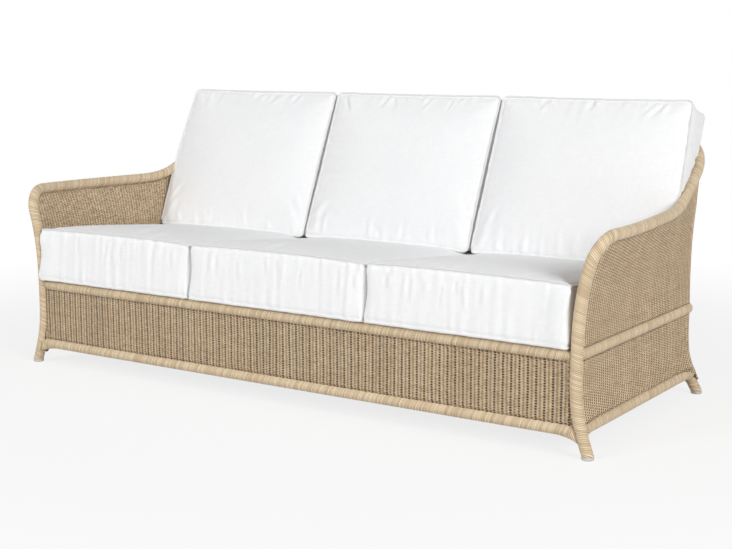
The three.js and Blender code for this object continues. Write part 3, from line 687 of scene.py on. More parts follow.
def cushion_fabric():
    """Off-white cloth in plain weave, with thick and thin yarns."""
    look = Look("cushion_fabric", 0.9, Sheen_Weight=0.12, Sheen_Roughness=0.6)
    over, along = look.uv()
    cloth = over.sine(0.0011) * along.sine(0.0012)
    slub_up = look.noise(look.vector(over * 420, along * 26), 1.0)
    slub_over = look.noise(look.vector(over * 26, along * 420, 4.0), 1.0)
    slubs = slub_up + slub_over
    tone = slubs * 0.8 + (cloth * 0.10 - 0.30) + (look.noise(look.place(), 6.0) * 0.3 - 0.15)
    color = look.mix(tone.clamp(), srgb(233, 234, 235), srgb(249, 249, 250))
    return look.finish(color, cloth * 0.00010 + slubs * 0.00030, strength=0.8)


def seam_thread():
    look = Look("cushion_seam", 0.9, Sheen_Weight=0.1)
    along, around = look.uv()
    twist = (along + around).sine(0.0022)
    color = look.mix(twist.span(-1.0, 1.0), srgb(226, 225, 223), srgb(248, 247, 245))
    return look.finish(color, twist * 0.0002)


def glide_plastic():
    look = Look("glide_plastic", 0.42)
    scuffs = look.noise(look.place(), 320.0, 4.0, 0.7)
    color = look.mix(scuffs.span(0.35, 0.75), srgb(206, 203, 198), srgb(178, 173, 166))
    return look.finish(color, scuffs * 0.00012, Roughness=scuffs.span(0.3, 0.8, 0.36, 0.62))


def coated_tube():
    look = Look("coated_tube", 0.5)
    place = look.place()
    grain, wear = look.noise(place, 900.0), look.noise(place, 30.0, 4.0, 0.65)
    color = look.mix(wear.span(0.35, 0.8), srgb(139, 122, 100), srgb(112, 98, 80))
    return look.finish(color, grain * 0.00012, Roughness=wear.span(0.3, 0.7, 0.42, 0.6))


def webbing():
    """Elastic strap: ribs along its length, crossed by finer picks."""
    look = Look("webbing", 0.85, Sheen_Weight=0.1)
    place = look.place()
    x, y = look.split(place)
    cloth = y.sine(0.0022) * 0.4 + x.sine(0.0032)
    tone = cloth * 0.28 + look.noise(place, 500.0, 3.0)
    return look.finish(look.mix(tone.span(0.1, 0.9), srgb(58, 53, 48), srgb(104, 96, 86)), cloth * 0.0002)


CORD, WOVEN, FABRIC, SEAM = wrapped_cord(), woven_cord(), cushion_fabric(), seam_thread()
GLIDE, COATED, WEBBING = glide_plastic(), coated_tube(), webbing()


def dress(piece, material, node):
    """Gives a rigid piece its material, and puts it in the place of a node of the part."""
    paint(piece, material)
    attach(piece, "frame")
    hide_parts(node)


# Frame tubes. Where one meets another, the cord is darker in the crease: painted shade.

# the cord darker within reach of the other tubes: painted shade in the crease of each joint
def paint_joint_shade(piece, others):
    points = vertices_of(piece) - SHIFT
    closest = np.full(len(points), 1.0)
    for other in others:
        gap, _ = nearest(points, paths[other])
        closest = np.minimum(closest, np.abs(gap))
    attribute(piece, "crease", 1 - smooth(closest / JOINT_SHADE_REACH))


hoops = ["left_arm_hoop", "right_arm_hoop"]
rear_posts = ["left_rear_post", "right_rear_post"]
# the tubes whose joints paint shade on each tube
meets = {"front_seat_rail": hoops, "front_lower_rail": hoops, "back_lower_rail": rear_posts}
tucks = {"front_seat_rail": "se", "front_lower_rail": "se"}
for name, _ in SIDES:
    meets[f"{name}_rear_post"] = [f"{name}_lower_rail", "back_lower_rail", f"{name}_seat_rail"]
    meets[f"{name}_seat_rail"] = [f"{name}_arm_hoop"]
    meets[f"{name}_lower_rail"] = [f"{name}_arm_hoop", f"{name}_rear_post"]
    tucks[f"{name}_seat_rail"] = tucks[f"{name}_lower_rail"] = "s"
for name in sorted(paths, key=lambda name: name.endswith("post")):
    upward = [0, 0, 1] if name.endswith(("hoop", "post")) else None
    made = tube(f"{name}_wrapped", paths[name], upward, tucks.get(name, ""))
    paint_joint_shade(made, meets.get(name, ()))
    dress(made, CORD, name)


# Webs: under a lower rail the wrapping swells down and out into the foot.

def web(node, sign, post_point, rail, direction, length):
    origin = np.array(post_point(sign, LOWER_RAIL_HEIGHT), float)
    line = rail.mean(0)
    sideways = np.cross(direction, [0, 0, 1.0])
    origin = origin + sideways * ((line - origin) @ sideways) * 0.5
    low_point = np.array(post_point(sign, LOWER_RAIL_HEIGHT - WEB_DROP))
    kick = float((low_point - post_point(sign, LOWER_RAIL_HEIGHT)) @ direction)
    # a curve from under the rail to the foot, as reach from the post and drop from the rail
    start = np.array([length, -TUBE_RADIUS * 0.9])
    bend = np.array([TUBE_RADIUS * 1.3, -TUBE_RADIUS * 1.05])
    stop = np.array([kick + TUBE_RADIUS * 0.8, -WEB_DROP])
    t = np.linspace(0, 1, 26)[:, None]
    curve = (1 - t) ** 2 * start + 2 * t * (1 - t) * bend + t * t * stop
    strip, rings, uvs = Strip(), [], []
    angles = np.linspace(0, math.pi, 11)
    for reach, drop in curve:
        half = WEB_HALF * (1 - WEB_TAPER * (1 - smooth((length - reach) / length * 2)))
        bottom = drop + half
        arc = [(-half * math.cos(a), bottom - half * math.sin(a)) for a in angles]
        profile = [(-half, 0.0)] + arc + [(half, 0.0)]
        rings.append([origin + direction * reach + sideways * s + np.array([0, 0, z]) for s, z in profile])
        along = np.full(len(profile), reach * 0.9 - drop * 0.3)
        uvs.append(np.stack([along, lengths_along(np.array(profile))], -1))
    strip.grid(np.array(rings) + SHIFT, np.array(uvs))
    made = strip.piece(f"{node}_wrapped")
    side = node.split("_")[0]
    # painted shade where the web meets its post
    paint_joint_shade(made, [f"{side}_arm_hoop" if post_point is front_post_point else f"{side}_rear_post"])
    dress(made, CORD, node)


for name, sign in SIDES:
    inward, rearward = np.array([-sign, 0.0, 0.0]), np.array([0.0, 1.0, 0.0])
    side_rail = paths[f"{name}_lower_rail"]
    for part, post_point, rail, direction, reach in (
        ("front_web", front_post_point, paths["front_lower_rail"], inward, FRONT_WEB_REACH),
        ("front_side_web", front_post_point, side_rail, rearward, SIDE_WEB_REACH),
        ("rear_side_web", rear_post_point, side_rail, -rearward, SIDE_WEB_REACH),
        ("rear_web", rear_post_point, paths["back_lower_rail"], inward, FRONT_WEB_REACH),
    ):
        web(f"{name}_{part}", sign, post_point, rail, direction, reach)


# Glides: turned discs with a rounded foot

def glide(name, centre):
    round_foot, chamfer = 0.003, 0.0012
    turn = np.linspace(0, math.pi / 2, 6)
    middle = GLIDE_RADIUS - round_foot
    foot = [(middle + round_foot * math.sin(a), round_foot - round_foot * math.cos(a)) for a in turn]
    top = [(GLIDE_RADIUS, GLIDE_HEIGHT - chamfer), (GLIDE_RADIUS - chamfer, GLIDE_HEIGHT)]
    profile = [(0.0, 0.0)] + foot + top + [(0.0, GLIDE_HEIGHT)]
    angles = np.linspace(0, 2 * math.pi, 49)
    rings = np.array([[(r * math.cos(a), r * math.sin(a), z) for a in angles] for r, z in profile]) + centre
    up = np.arange(len(profile))[:, None] * 0.004
    strip = Strip()
    strip.grid(rings, np.stack(np.broadcast_arrays(up, angles[None] * GLIDE_RADIUS), -1), flip=True)
    dress(strip.piece(f"{name}_turned"), GLIDE, name)


for name, sign in SIDES:
    for end, post_point in (("front", front_post_point), ("rear", rear_post_point)):
        glide(f"{name}_{end}_glide", post_point(sign, FOOT_BOTTOM) * [1, 1, 0] + SHIFT)


# Woven sheets

def woven_panel(node, outer, inner, uv, edges, strand=0.0):
    """A closed sheet between two grids of points, with what its material needs to know."""
    strip = Strip()
    strip.grid(outer + SHIFT, uv)
    strip.grid(inner + SHIFT, uv + [0.5 * STAKE_PITCH, 0])
    over = [0, WEAVE_THICKNESS]
    for edge in (0, -1):
        rim = np.stack([outer[:, edge], inner[:, edge]]) + SHIFT
        strip.grid(rim, np.stack([uv[:, edge], uv[:, edge] + over]))
        strip.grid(np.stack([outer[edge], inner[edge]]) + SHIFT, np.stack([uv[edge], uv[edge] + over]))
    made = strip.piece(f"{node}_woven")
    edit_mesh(made, lambda mesh: bmesh.ops.recalc_face_normals(mesh, faces=mesh.faces))
    weave_edges(made, edges)
    points, normals = vertices_of(made), normals_of(made)
    attribute(made, "inside", ((points * normals)[:, :2].sum(1) < 0).astype(float))
    # strand is 1 on the striped apron, whose weave is also painted darker as shade
    attribute(made, "strand", np.full(len(points), strand))
    dress(made, WOVEN, node)


def sheet(node, columns, lower, upper, rows, edges):
    """columns is a list of (side, station, length along). lower and upper give edge heights."""
    sides, stations, along = np.array(columns, float).T[..., None]
    share = np.linspace(0, 1, rows + 1)[None]
    low_edge, high_edge = lower(stations), upper(stations)
    heights = low_edge + (high_edge - low_edge) * share
    stations = np.broadcast_to(stations, heights.shape)
    right = sides[..., None] > 0
    points = np.where(right, surface(1, stations, heights), surface(-1, stations, heights))
    normals = np.where(right, surface_normal(1, stations, heights), surface_normal(-1, stations, heights))
    uv = np.stack(np.broadcast_arrays(along, heights), -1).copy()
    outer = points + normals * (WEAVE_STAND_OFF + WEAVE_THICKNESS)
    woven_panel(node, outer, points + normals * WEAVE_STAND_OFF, uv, edges)


def weave_edges(piece, edges):
    """How far each point is from the nearest tube of the sheet's edge, and where along that tube."""
    points = vertices_of(piece) - SHIFT
    gap = np.full(len(points), 1.0)
    stitch = np.zeros(len(points))
    for other in edges:
        here, along = nearest(points, paths[other])
        nearer = here < gap
        gap[nearer], stitch[nearer] = here[nearer], along[nearer]
    attribute(piece, "edge", gap)
    attribute(piece, "stitch", stitch)


def columns_between(sign, first, last, count):
    """Columns of points between two stations, with lengths taken where the stakes are spaced evenly."""
    stations = np.linspace(first, last, count)
    line = surface(sign, stations, 0 * stations + STAKES_EVEN_HEIGHT)
    return [(sign, s, a) for s, a in zip(stations, lengths_along(line))]


def seat_edge(station):
    return 0 * station + SEAT_RAIL_HEIGHT


def bottom_edge(station):
    return LOWER_RAIL_HEIGHT - WEAVE_CORNER_DROP * np.sin(math.pi * clamp(station - 1))


left_back = columns_between(-1, 1.5, 3, 150)
length = left_back[-1][2]
back_columns = left_back + [(1, s, 2 * length - a) for _, s, a in reversed(left_back[:-1])]
for name, sign in SIDES:
    shared = [f"{name}_arm_hoop", f"{name}_seat_rail"]
    front = columns_between(sign, 0, SHOULDER_SHARE, 22)
    rest = columns_between(sign, SHOULDER_SHARE, 1.5, 130)
    offset = front[-1][2]
    upper_columns = front + [(s, t, a + offset) for s, t, a in rest[1:]]
    sheet(f"{name}_upper_weave", upper_columns, seat_edge, hoop_height, 56, shared)
    sheet(f"{name}_lower_weave", upper_columns, bottom_edge, seat_edge, 34, shared + [f"{name}_lower_rail"])
seat_rails = ["left_seat_rail", "right_seat_rail", "back_seat_rail"]
sheet("back_upper_weave", back_columns, seat_edge, hoop_height, 60, hoops + seat_rails + ["back_top_rail"])
sheet("back_lower_weave", back_columns, bottom_edge, seat_edge, 34, seat_rails + ["back_lower_rail"])


def apron():
    half = WAIST_HALF_WIDTH + APRON_OVERLAP
    heights = np.linspace(LOWER_RAIL_HEIGHT, SEAT_RAIL_HEIGHT, 40)
    x, z = np.meshgrid(np.linspace(-half, half, 250), heights, indexing="ij")
    uv = np.stack([x + 2.0, z], -1)
    outer = np.stack([x, 0 * x + FRONT_Y - WEAVE_STAND_OFF - WEAVE_THICKNESS, z], -1)
    inner = outer + [0, WEAVE_THICKNESS, 0]
    edges = ["front_seat_rail", "front_lower_rail"] + hoops
    # the apron is striped, and painted darker all over as shade
    woven_panel("front_apron_weave", outer, inner, uv, edges, strand=1.0)


apron()


# Deck: the part's own bars, bearers, straps and uprights, with their materials

for name, node in frame["nodes"].items():
    if any(word in name for word in ("strap", "deck", "upright")):
        paint(node, WEBBING if "strap" in name else COATED)


# Cushions. Each is a boxed cover in its own axes (across, along, level), blown up by a cloth
# simulation, then set in its place and dented by the tubes that it leans on.

def pitched(points):
    """Turns a level layout about the front seat rail, as the deck falls to the rear."""
    y, z = points[..., 1] - FRONT_Y, points[..., 2] - SEAT_RAIL_HEIGHT
    turned = np.array(points, float)
    turned[..., 1] = FRONT_Y + y * math.cos(SEAT_PITCH) + z * math.sin(SEAT_PITCH)
    turned[..., 2] = SEAT_RAIL_HEIGHT - y * math.sin(SEAT_PITCH) + z * math.cos(SEAT_PITCH)
    return turned


def before_pitch(y, height):
    """Where a point of the level layout must be for the pitch to bring it to y."""
    shift = (height - SEAT_RAIL_HEIGHT) * math.sin(SEAT_PITCH)
    return FRONT_Y + (y - FRONT_Y - shift) / math.cos(SEAT_PITCH)


SEAT_TOP = SEAT_BOTTOM + SEAT_THICKNESS
SEAT_END_Y = float(rear_post_point(1, SEAT_RAIL_HEIGHT)[1]) - TUBE_RADIUS - SIDE_GAP
SEAT_BACK_Y = before_pitch(SEAT_END_Y, SEAT_TOP)
SEAT_MIDDLE_Y, SEAT_DEPTH = (SEAT_FRONT_Y + SEAT_BACK_Y) / 2, SEAT_BACK_Y - SEAT_FRONT_Y


def crown_share(distance, size):
    return 1 - np.minimum(np.abs(2 * distance / size), 1) ** CROWN_POWER


def seat_share(along):
    """A seat cushion is fullest near its front, and falls away to the rear."""
    past = clamp(along / SEAT_DEPTH + 0.5) - PEAK_SHARE
    front = 1 - np.abs(np.minimum(past, 0) / PEAK_SHARE) ** CROWN_POWER
    rear = 1 - (np.maximum(past, 0) / (1 - PEAK_SHARE)) ** FALL_POWER
    return np.where(past < 0, front, rear)


def seat_top(x, y, width):
    """How high a seat cushion's crowned top stands at a place of the working frame."""
    flat_y = np.clip(before_pitch(y, SEAT_TOP), SEAT_FRONT_Y, SEAT_BACK_Y)
    swell = SEAT_CROWN * crown_share(x, width) * seat_share(flat_y - SEAT_MIDDLE_Y)
    return pitched(np.stack([x * 0.0, flat_y, SEAT_TOP + swell], -1))[..., 2]


REST_LEVEL_Y = SEAT_FRONT_Y + BACK_SETBACK
REST_SWELL = SEAT_CROWN * float(seat_share(REST_LEVEL_Y - SEAT_MIDDLE_Y))
REST = pitched(np.array([0.0, REST_LEVEL_Y, SEAT_TOP + REST_SWELL]))
FOOT = float(REST[2]) + FIT_GAP
FACE_Y = float(REST[1]) - EDGE_RADIUS / math.cos(BACK_LEAN_ANGLE)
BACK_HEIGHT = (BACK_TOP - FOOT) / math.cos(BACK_LEAN_ANGLE)


class Cover:
    """The sizes of one cushion's cover. Its near end is the front of a seat and the foot of a back."""

    def __init__(self, seat, width, side):
        self.seat, self.width, self.side = seat, width, side
        self.height, self.thickness = (SEAT_DEPTH, SEAT_THICKNESS) if seat else (BACK_HEIGHT, BACK_THICKNESS)
        self.crown, self.rear_crown = (SEAT_CROWN, 0.0) if seat else (BACK_CROWN, BACK_REAR_CROWN)
        self.side_draw, self.far_draw = (0.003, 0.005) if seat else (0.0025, 0.002)
        self.near_corner, self.far_corner = (0.012, CORNER_RADIUS) if seat else (0.020, 0.020)

    def along_share(self, along):
        return seat_share(along) if self.seat else crown_share(along, self.height)


def grid_lines(length):
    """Lines from one edge to the other, closer together beside the edges."""
    near = np.array(COVER_EDGE_LINES)
    count = max(2, int(round((length - 2 * near[-1]) / COVER_CELL)))
    middle = np.linspace(near[-1], length - near[-1], count + 1)
    return np.r_[near[:-1], middle, length - near[:-1][::-1]] - length / 2


def boxed_cover(name, cover, fullness):
    """A closed box of quads in the cover's shape, with its two seam loops. Returns the piece, the
    loops and the plain box's points."""
    lines = [grid_lines(size) for size in (cover.width, cover.height, cover.thickness)]
    lines[2] += cover.thickness / 2
    counts = nx, ny, nz = [len(line) - 1 for line in lines]
    index, points, faces, uvs = {}, [], [], []
    for fixed, u, v in ((2, 0, 1), (1, 0, 2), (0, 1, 2)):
        for end in (0, counts[fixed]):
            turned = (end > 0) == (fixed == 1)
            for p in range(counts[u]):
                for q in range(counts[v]):
                    corners = np.full((4, 3), end)
                    corners[:, u], corners[:, v] = (p, p + 1, p + 1, p), (q, q, q + 1, q + 1)
                    face = []
                    for corner in map(tuple, corners[::-1 if turned else 1].tolist()):
                        if corner not in index:
                            index[corner] = len(points)
                            points.append([line[at] for line, at in zip(lines, corner)])
                        face.append(index[corner])
                        uvs.append((lines[u][corner[u]], lines[v][corner[v]]))
                    faces.append(face)
    loops = []
    for k in (0, nz):
        ring = [(i, 0, k) for i in range(nx)] + [(nx, j, k) for j in range(ny)]
        ring += [(i, ny, k) for i in range(nx, 0, -1)] + [(0, j, k) for j in range(ny, 0, -1)]
        loops.append([index[corner] for corner in ring])
    flat = np.array(points)
    return new_mesh(name, cover_shape(flat, cover, fullness), faces, uvs), loops, flat


def cover_shape(flat, cover, fullness):
    """Turns points of a plain box into the cushion's shape. Its boxing starts a little drawn in,
    for the simulation to blow out."""
    half_x, half_y, thickness = cover.width / 2, cover.height / 2, cover.thickness
    x, y = flat[:, 0].copy(), flat[:, 1].copy()
    # corners in plan, by mapping the square at each corner onto a quarter disc
    radius = np.where(y < 0, cover.near_corner, cover.far_corner)
    s = np.maximum(0, (np.abs(x) - half_x + radius) / radius)
    t = np.maximum(0, (np.abs(y) - half_y + radius) / radius)
    both = (s > 0) & (t > 0)
    x = np.where(both, np.sign(x) * (half_x - radius + radius * s * np.sqrt(1 - t * t / 2)), x)
    y = np.where(both, np.sign(y) * (half_y - radius + radius * t * np.sqrt(1 - s * s / 2)), y)
    # edges, by an arc of 45 degrees on either side of each seam
    inside = np.minimum(half_x - np.abs(flat[:, 0]), half_y - np.abs(flat[:, 1]))
    depth = np.minimum(flat[:, 2], thickness - flat[:, 2])
    on_face = depth < 1e-9
    turn = np.where(on_face, 1 - clamp(inside / SOFT_EDGE), 1 + clamp(depth / SOFT_EDGE)) * math.pi / 4
    drop = SOFT_EDGE * (1 - np.cos(turn))
    inset = SOFT_EDGE * (1 - np.sin(turn))
    inset = np.where(on_face, np.where(inside < 1e-9, inset, 0), inset)
    level = np.where(on_face | (depth < SOFT_EDGE), drop, depth)
    upper = flat[:, 2] > thickness / 2
    z = np.where(upper, thickness - level, level)
    bowed = np.where(on_face, 0, np.sin(math.pi * clamp(flat[:, 2] / thickness)))
    slack = BOXING_SLACK * (1 - fullness) * bowed
    x, y = x * (1 - (inset + slack) / half_x), y * (1 - (inset + slack) / half_y)
    # sides that draw in between the corners, and crowned faces
    draw = np.where(y < 0, 0.0, cover.far_draw)
    drawn_x = x * (1 - cover.side_draw * (1 - (y / half_y) ** 2) / half_x)
    drawn_y = y * (1 - draw * (1 - (x / half_x) ** 2) / half_y)
    swell = crown_share(drawn_x, cover.width) * np.maximum(0, cover.along_share(drawn_y)) * on_face
    through = clamp(z / thickness)
    z = z + fullness * swell * (cover.crown * through ** 3 - cover.rear_crown * (1 - through) ** 3)
    # the top seam of a seat bows up along the front and falls off round its two front corners
    if cover.seat:
        close = 1 - smooth((drawn_y + half_y) / SEAM_BOW_REACH)
        bow = SEAM_BOW * (1 - (drawn_x / half_x) ** 2)
        corner = clamp((np.abs(drawn_x) - (half_x - CORNER_FALL)) / CORNER_FALL)
        fall = CORNER_FALL * (1 - np.sqrt(np.maximum(0, 1 - corner ** 2))) * CORNER_FALL_SHARE
        z = z + through ** 2 * (close * bow - fall)
    return np.stack([drawn_x, drawn_y, z], -1)


def simulate(piece):
    """Runs Blender's cloth on the piece, and returns where its points end."""
    cloth = piece.modifiers.new("cloth", "CLOTH")
    for key, value in CLOTH.items():
        setattr(cloth.settings, key, value)
    cloth.settings.effector_weights.gravity = 0
    cloth.collision_settings.use_collision = False
    cloth.point_cache.frame_start, cloth.point_cache.frame_end = 1, CLOTH_FRAMES
    for number in range(1, CLOTH_FRAMES + 1):
        bpy.context.scene.frame_set(number)
    evaluated = piece.evaluated_get(bpy.context.evaluated_depsgraph_get())
    points = vertices_of(evaluated)
    piece.modifiers.remove(cloth)
    bpy.context.scene.frame_set(1)
    return points


def fill_cover(piece, flat, loops, cover, seed):
    """Blows the cover up, its seams held, and keeps the result."""
    rng = np.random.default_rng(seed)
    rest = vertices_of(piece)
    move_vertices(piece, rest + rng.normal(0, START_NOISE, rest.shape))
    hold = piece.vertex_groups.new(name="hold")
    slack = piece.vertex_groups.new(name="slack")
    seam = set(loops[0] + loops[1])
    for i, point in enumerate(flat):
        if cover.seat and point[2] < 1e-9:
            hold.add([i], 1.0, "REPLACE")
        elif i in seam:
            hold.add([i], SEAM_HOLD, "REPLACE")
        slack.add([i], 0.0 if i in seam else 1.0, "REPLACE")
    move = simulate(piece) - rest
    piece.vertex_groups.clear()
    size = np.linalg.norm(move, axis=1, keepdims=True)
    move *= FILL_CAP * np.tanh(size / FILL_CAP) / np.maximum(size, 1e-9)
    points = rest + move
    # the filled cover stays in the space of the part's cushion
    for axis, half in ((0, cover.width / 2), (1, cover.height / 2)):
        reach = np.abs(points[:, axis])
        start = half - SOFT_LIMIT
        eased = start + SOFT_LIMIT * np.tanh((reach - start) / SOFT_LIMIT)
        points[:, axis] = np.sign(points[:, axis]) * np.where(reach > start, eased, reach)
    over = points[:, 2] - cover.thickness
    points[:, 2] -= np.maximum(over, 0) * max(0, 1 - cover.crown / over.max())
    under = -points[:, 2]
    if cover.rear_crown:
        points[:, 2] += np.maximum(under, 0) * max(0, 1 - cover.rear_crown / under.max())
    move_vertices(piece, points)


def subdivide(piece, loops):
    """One round of smooth subdivision, with the seams kept a little sharp."""
    crease = piece.data.attributes.new("crease_edge", "FLOAT", "EDGE")
    seams = [set(loop) for loop in loops]
    sewn = [any(set(edge.vertices) <= seam for seam in seams) for edge in piece.data.edges]
    crease.data.foreach_set("value", np.where(sewn, SEAM_SHARPNESS, 0.0))
    modifier = piece.modifiers.new("subdivision", "SUBSURF")
    modifier.levels = modifier.render_levels = 1
    evaluated = piece.evaluated_get(bpy.context.evaluated_depsgraph_get())
    finer = bpy.data.meshes.new_from_object(evaluated)
    piece.modifiers.remove(modifier)
    old, piece.data = piece.data, finer
    bpy.data.meshes.remove(old)
    finer.polygons.foreach_set("use_smooth", [True] * len(finer.polygons))


def wave_along(along, total, size, rng):
    """Gathers of uneven strength, spaced by about the size."""
    count = max(3, int(total / size))
    strength = rng.uniform(0.0, 1.0, count + 2) ** 1.5
    drift = rng.uniform(-0.35, 0.35, count + 2)
    at = along / total * count
    step = np.floor(at).astype(int) % (count + 1)
    part = smooth(at % 1)
    local = strength[step] * (1 - part) + strength[step + 1] * part
    shift = drift[step] * (1 - part) + drift[step + 1] * part
    return local * np.cos(2 * math.pi * (at + shift))


def gather(piece, loops, seed):
    """Gathers where the cloth is sewn, dying out away from the seams, and a groove beside each."""
    points, normals = vertices_of(piece), normals_of(piece)
    rng = np.random.default_rng(seed)
    moved = np.zeros(len(points))
    boxing = smooth((1 - np.abs(normals[:, 2]) - 0.35) / 0.3)
    for loop in loops:
        closed = np.vstack([points[loop], points[loop[:1]]])
        total = float(lengths_along(closed)[-1])
        gap, along = nearest(points, closed, 0.0)
        for size, reach, depth in GATHERS:
            fade = np.exp(-gap / reach) * smooth(gap / GATHER_START)
            on_boxing = wave_along(along, total, size, rng)
            on_face = wave_along(along, total, size, rng)
            wave = on_boxing * boxing * BOXING_GATHER + on_face * (1 - boxing) * FACE_GATHER
            moved += depth * fade * wave
        moved -= GROOVE_DEPTH * np.exp(-((gap - GROOVE_AT) / GROOVE_WIDTH) ** 2)
    move_vertices(piece, points + normals * moved[:, None])


def crease_cloth(piece, cover, seed):
    """Short slack folds: down the front and over the top of a seat, and from the edges and corners
    of a back cushion's face."""
    points, normals = vertices_of(piece), normals_of(piece)
    rng = np.random.default_rng(seed)
    half_x, half_y = cover.width / 2, cover.height / 2
    moved = np.zeros(len(points))

    def fold(level, start, end, width, depth):
        """A ridge from start to end with a shallower dip beside it, on a level face or a front."""
        axes, facing = ([0, 1], normals[:, 2]) if level else ([0, 2], -normals[:, 1])
        run = np.subtract(end, start)
        size = np.linalg.norm(run)
        away = points[:, axes] - start
        share = away @ run / size ** 2
        gap = (away[:, 0] * run[1] - away[:, 1] * run[0]) / size
        taper = smooth(share / 0.25) * smooth((1 - share) / 0.6) * smooth((facing - 0.3) / 0.4)
        ridge = np.exp(-(gap / width) ** 2) - 0.8 * np.exp(-((gap - 1.5 * width) / width) ** 2)
        moved[:] += depth * ridge * taper

    if cover.seat:
        for _ in range(9):
            x = rng.uniform(-0.92, 0.92) * half_x
            lean = rng.uniform(-0.010, 0.010)
            top, foot = cover.thickness * rng.uniform(0.80, 0.95), cover.thickness * rng.uniform(0.25, 0.6)
            fold(False, (x, top), (x + lean, foot), rng.uniform(0.005, 0.009), 0.0028)
        for _ in range(5):
            x, y = rng.uniform(-0.7, 0.7) * half_x, -half_y + rng.uniform(0.01, 0.03)
            end = (x + rng.uniform(-0.05, 0.05), y + rng.uniform(0.08, 0.20))
            fold(True, (x, y), end, rng.uniform(0.010, 0.018), 0.0020)
    else:
        for _ in range(9):
            x = rng.uniform(-0.9, 0.9) * half_x
            lean = rng.uniform(0.010, 0.055) * (-1 if x < 0 else 1) * rng.choice([1, 1, -0.6])
            length = rng.uniform(0.03, 0.09)
            start = (x, half_y - rng.uniform(0.004, 0.02))
            fold(True, start, (x - lean, half_y - length), rng.uniform(0.005, 0.010), 0.0034)
        for _ in range(6):
            x = rng.uniform(-0.9, 0.9) * half_x
            end = (x + rng.uniform(-0.02, 0.02), -half_y + rng.uniform(0.05, 0.13))
            fold(True, (x, -half_y + 0.012), end, rng.uniform(0.006, 0.011), 0.0026)
        for corner in (-1, -1, 1, 1):
            start = (corner * half_x * rng.uniform(0.90, 0.96), -half_y + rng.uniform(0.02, 0.10))
            end = (corner * half_x * rng.uniform(0.66, 0.8), -half_y + rng.uniform(0.12, 0.22))
            fold(True, start, end, rng.uniform(0.008, 0.014), 0.0030)
    move_vertices(piece, points + normals * moved[:, None])


def push_clear(points, names):
    """Moves points that lie in a frame tube out of it, as the tube dents the cushion."""
    for name in names:
        path = paths[name] + SHIFT
        gap, along = nearest(points, path)
        inside = gap < TUBE_MARGIN
        lengths = lengths_along(path)
        centre = np.stack([np.interp(along[inside], lengths, path[:, k]) for k in range(3)], -1)
        away = points[inside] - centre
        size = np.linalg.norm(away, axis=1, keepdims=True)
        points[inside] = centre + away / np.maximum(size, 1e-9) * (TUBE_RADIUS + TUBE_MARGIN)
    return points


def place_seat(local, middle_x, cover):
    """Lays a seat on the pitched deck. An outer one swells out in front of the frame's post."""
    points = pitched(local + [middle_x, SEAT_MIDDLE_Y, SEAT_BOTTOM])
    if not cover.side:
        return points + SHIFT
    x, y, z = points[:, 0] * cover.side, points[:, 1], points[:, 2]
    raised = smooth((z - SEAT_BOTTOM + 0.002) / FOOT_FADE)
    forward = raised * smooth((SEAT_TOP + 0.004 - z) / TOP_FADE)
    forward *= smooth((x - OUTER_X + PUSH_FADE) / PUSH_FADE) * smooth((FRONT_Y + FRONT_FADE - y) / FRONT_FADE)
    y = y - POST_PUSH * forward
    at_front = 1 - smooth((local[:, 1] + SEAT_DEPTH / 2) / FRONT_FADE)
    swell = raised * at_front * smooth((x - OUTER_X + SWELL_FADE) / SWELL_FADE)
    x = x + POST_SWELL[cover.side] * swell
    height = clamp((z - SEAT_BOTTOM) / SEAT_THICKNESS)
    x = x + WAIST_SWELL[cover.side] * np.sin(math.pi * height) * swell
    return push_clear(np.stack([x * cover.side, y, z], -1) + SHIFT, hoops)


def place_back(local, middle_x, cover, seat_width):
    """Leans a back cushion. Its foot sags onto the crown of the seat towards its ends."""
    rise, run = math.cos(BACK_LEAN_ANGLE), math.sin(BACK_LEAN_ANGLE)
    behind = BACK_THICKNESS - local[:, 2]
    start = behind * math.tan(BACK_LEAN_ANGLE)
    climbed = start + (BACK_HEIGHT - start) * (local[:, 1] / BACK_HEIGHT + 0.5)
    y = FACE_Y + climbed * run + behind * rise
    z = FOOT + climbed * rise - behind * run
    under = seat_top(local[:, 0], y, seat_width)
    sag = np.clip(FOOT - under - SAG_START, 0, SAG_LIMIT) * (1 - smooth((z - FOOT) / SAG_REACH))
    x = local[:, 0].copy()
    if cover.side:
        # the outer side of an outer cushion is soft, and swells against the arm
        high = clamp((z - FOOT) / (BACK_TOP - FOOT))
        near_arm = smooth((cover.side * x - cover.width / 2 + ARM_FADE) / ARM_FADE)
        swell = FOOT_SWELL * (1 - smooth(high)) + ARM_SWELL * np.sin(math.pi * high)
        share = REAR_SWELL_SHARE + (1 - REAR_SWELL_SHARE) * clamp(local[:, 2] / BACK_THICKNESS)
        x += cover.side * swell * near_arm * share
    points = np.stack([x + middle_x, y, z - sag], -1) + SHIFT
    return push_clear(points, ["back_top_rail"] + hoops)


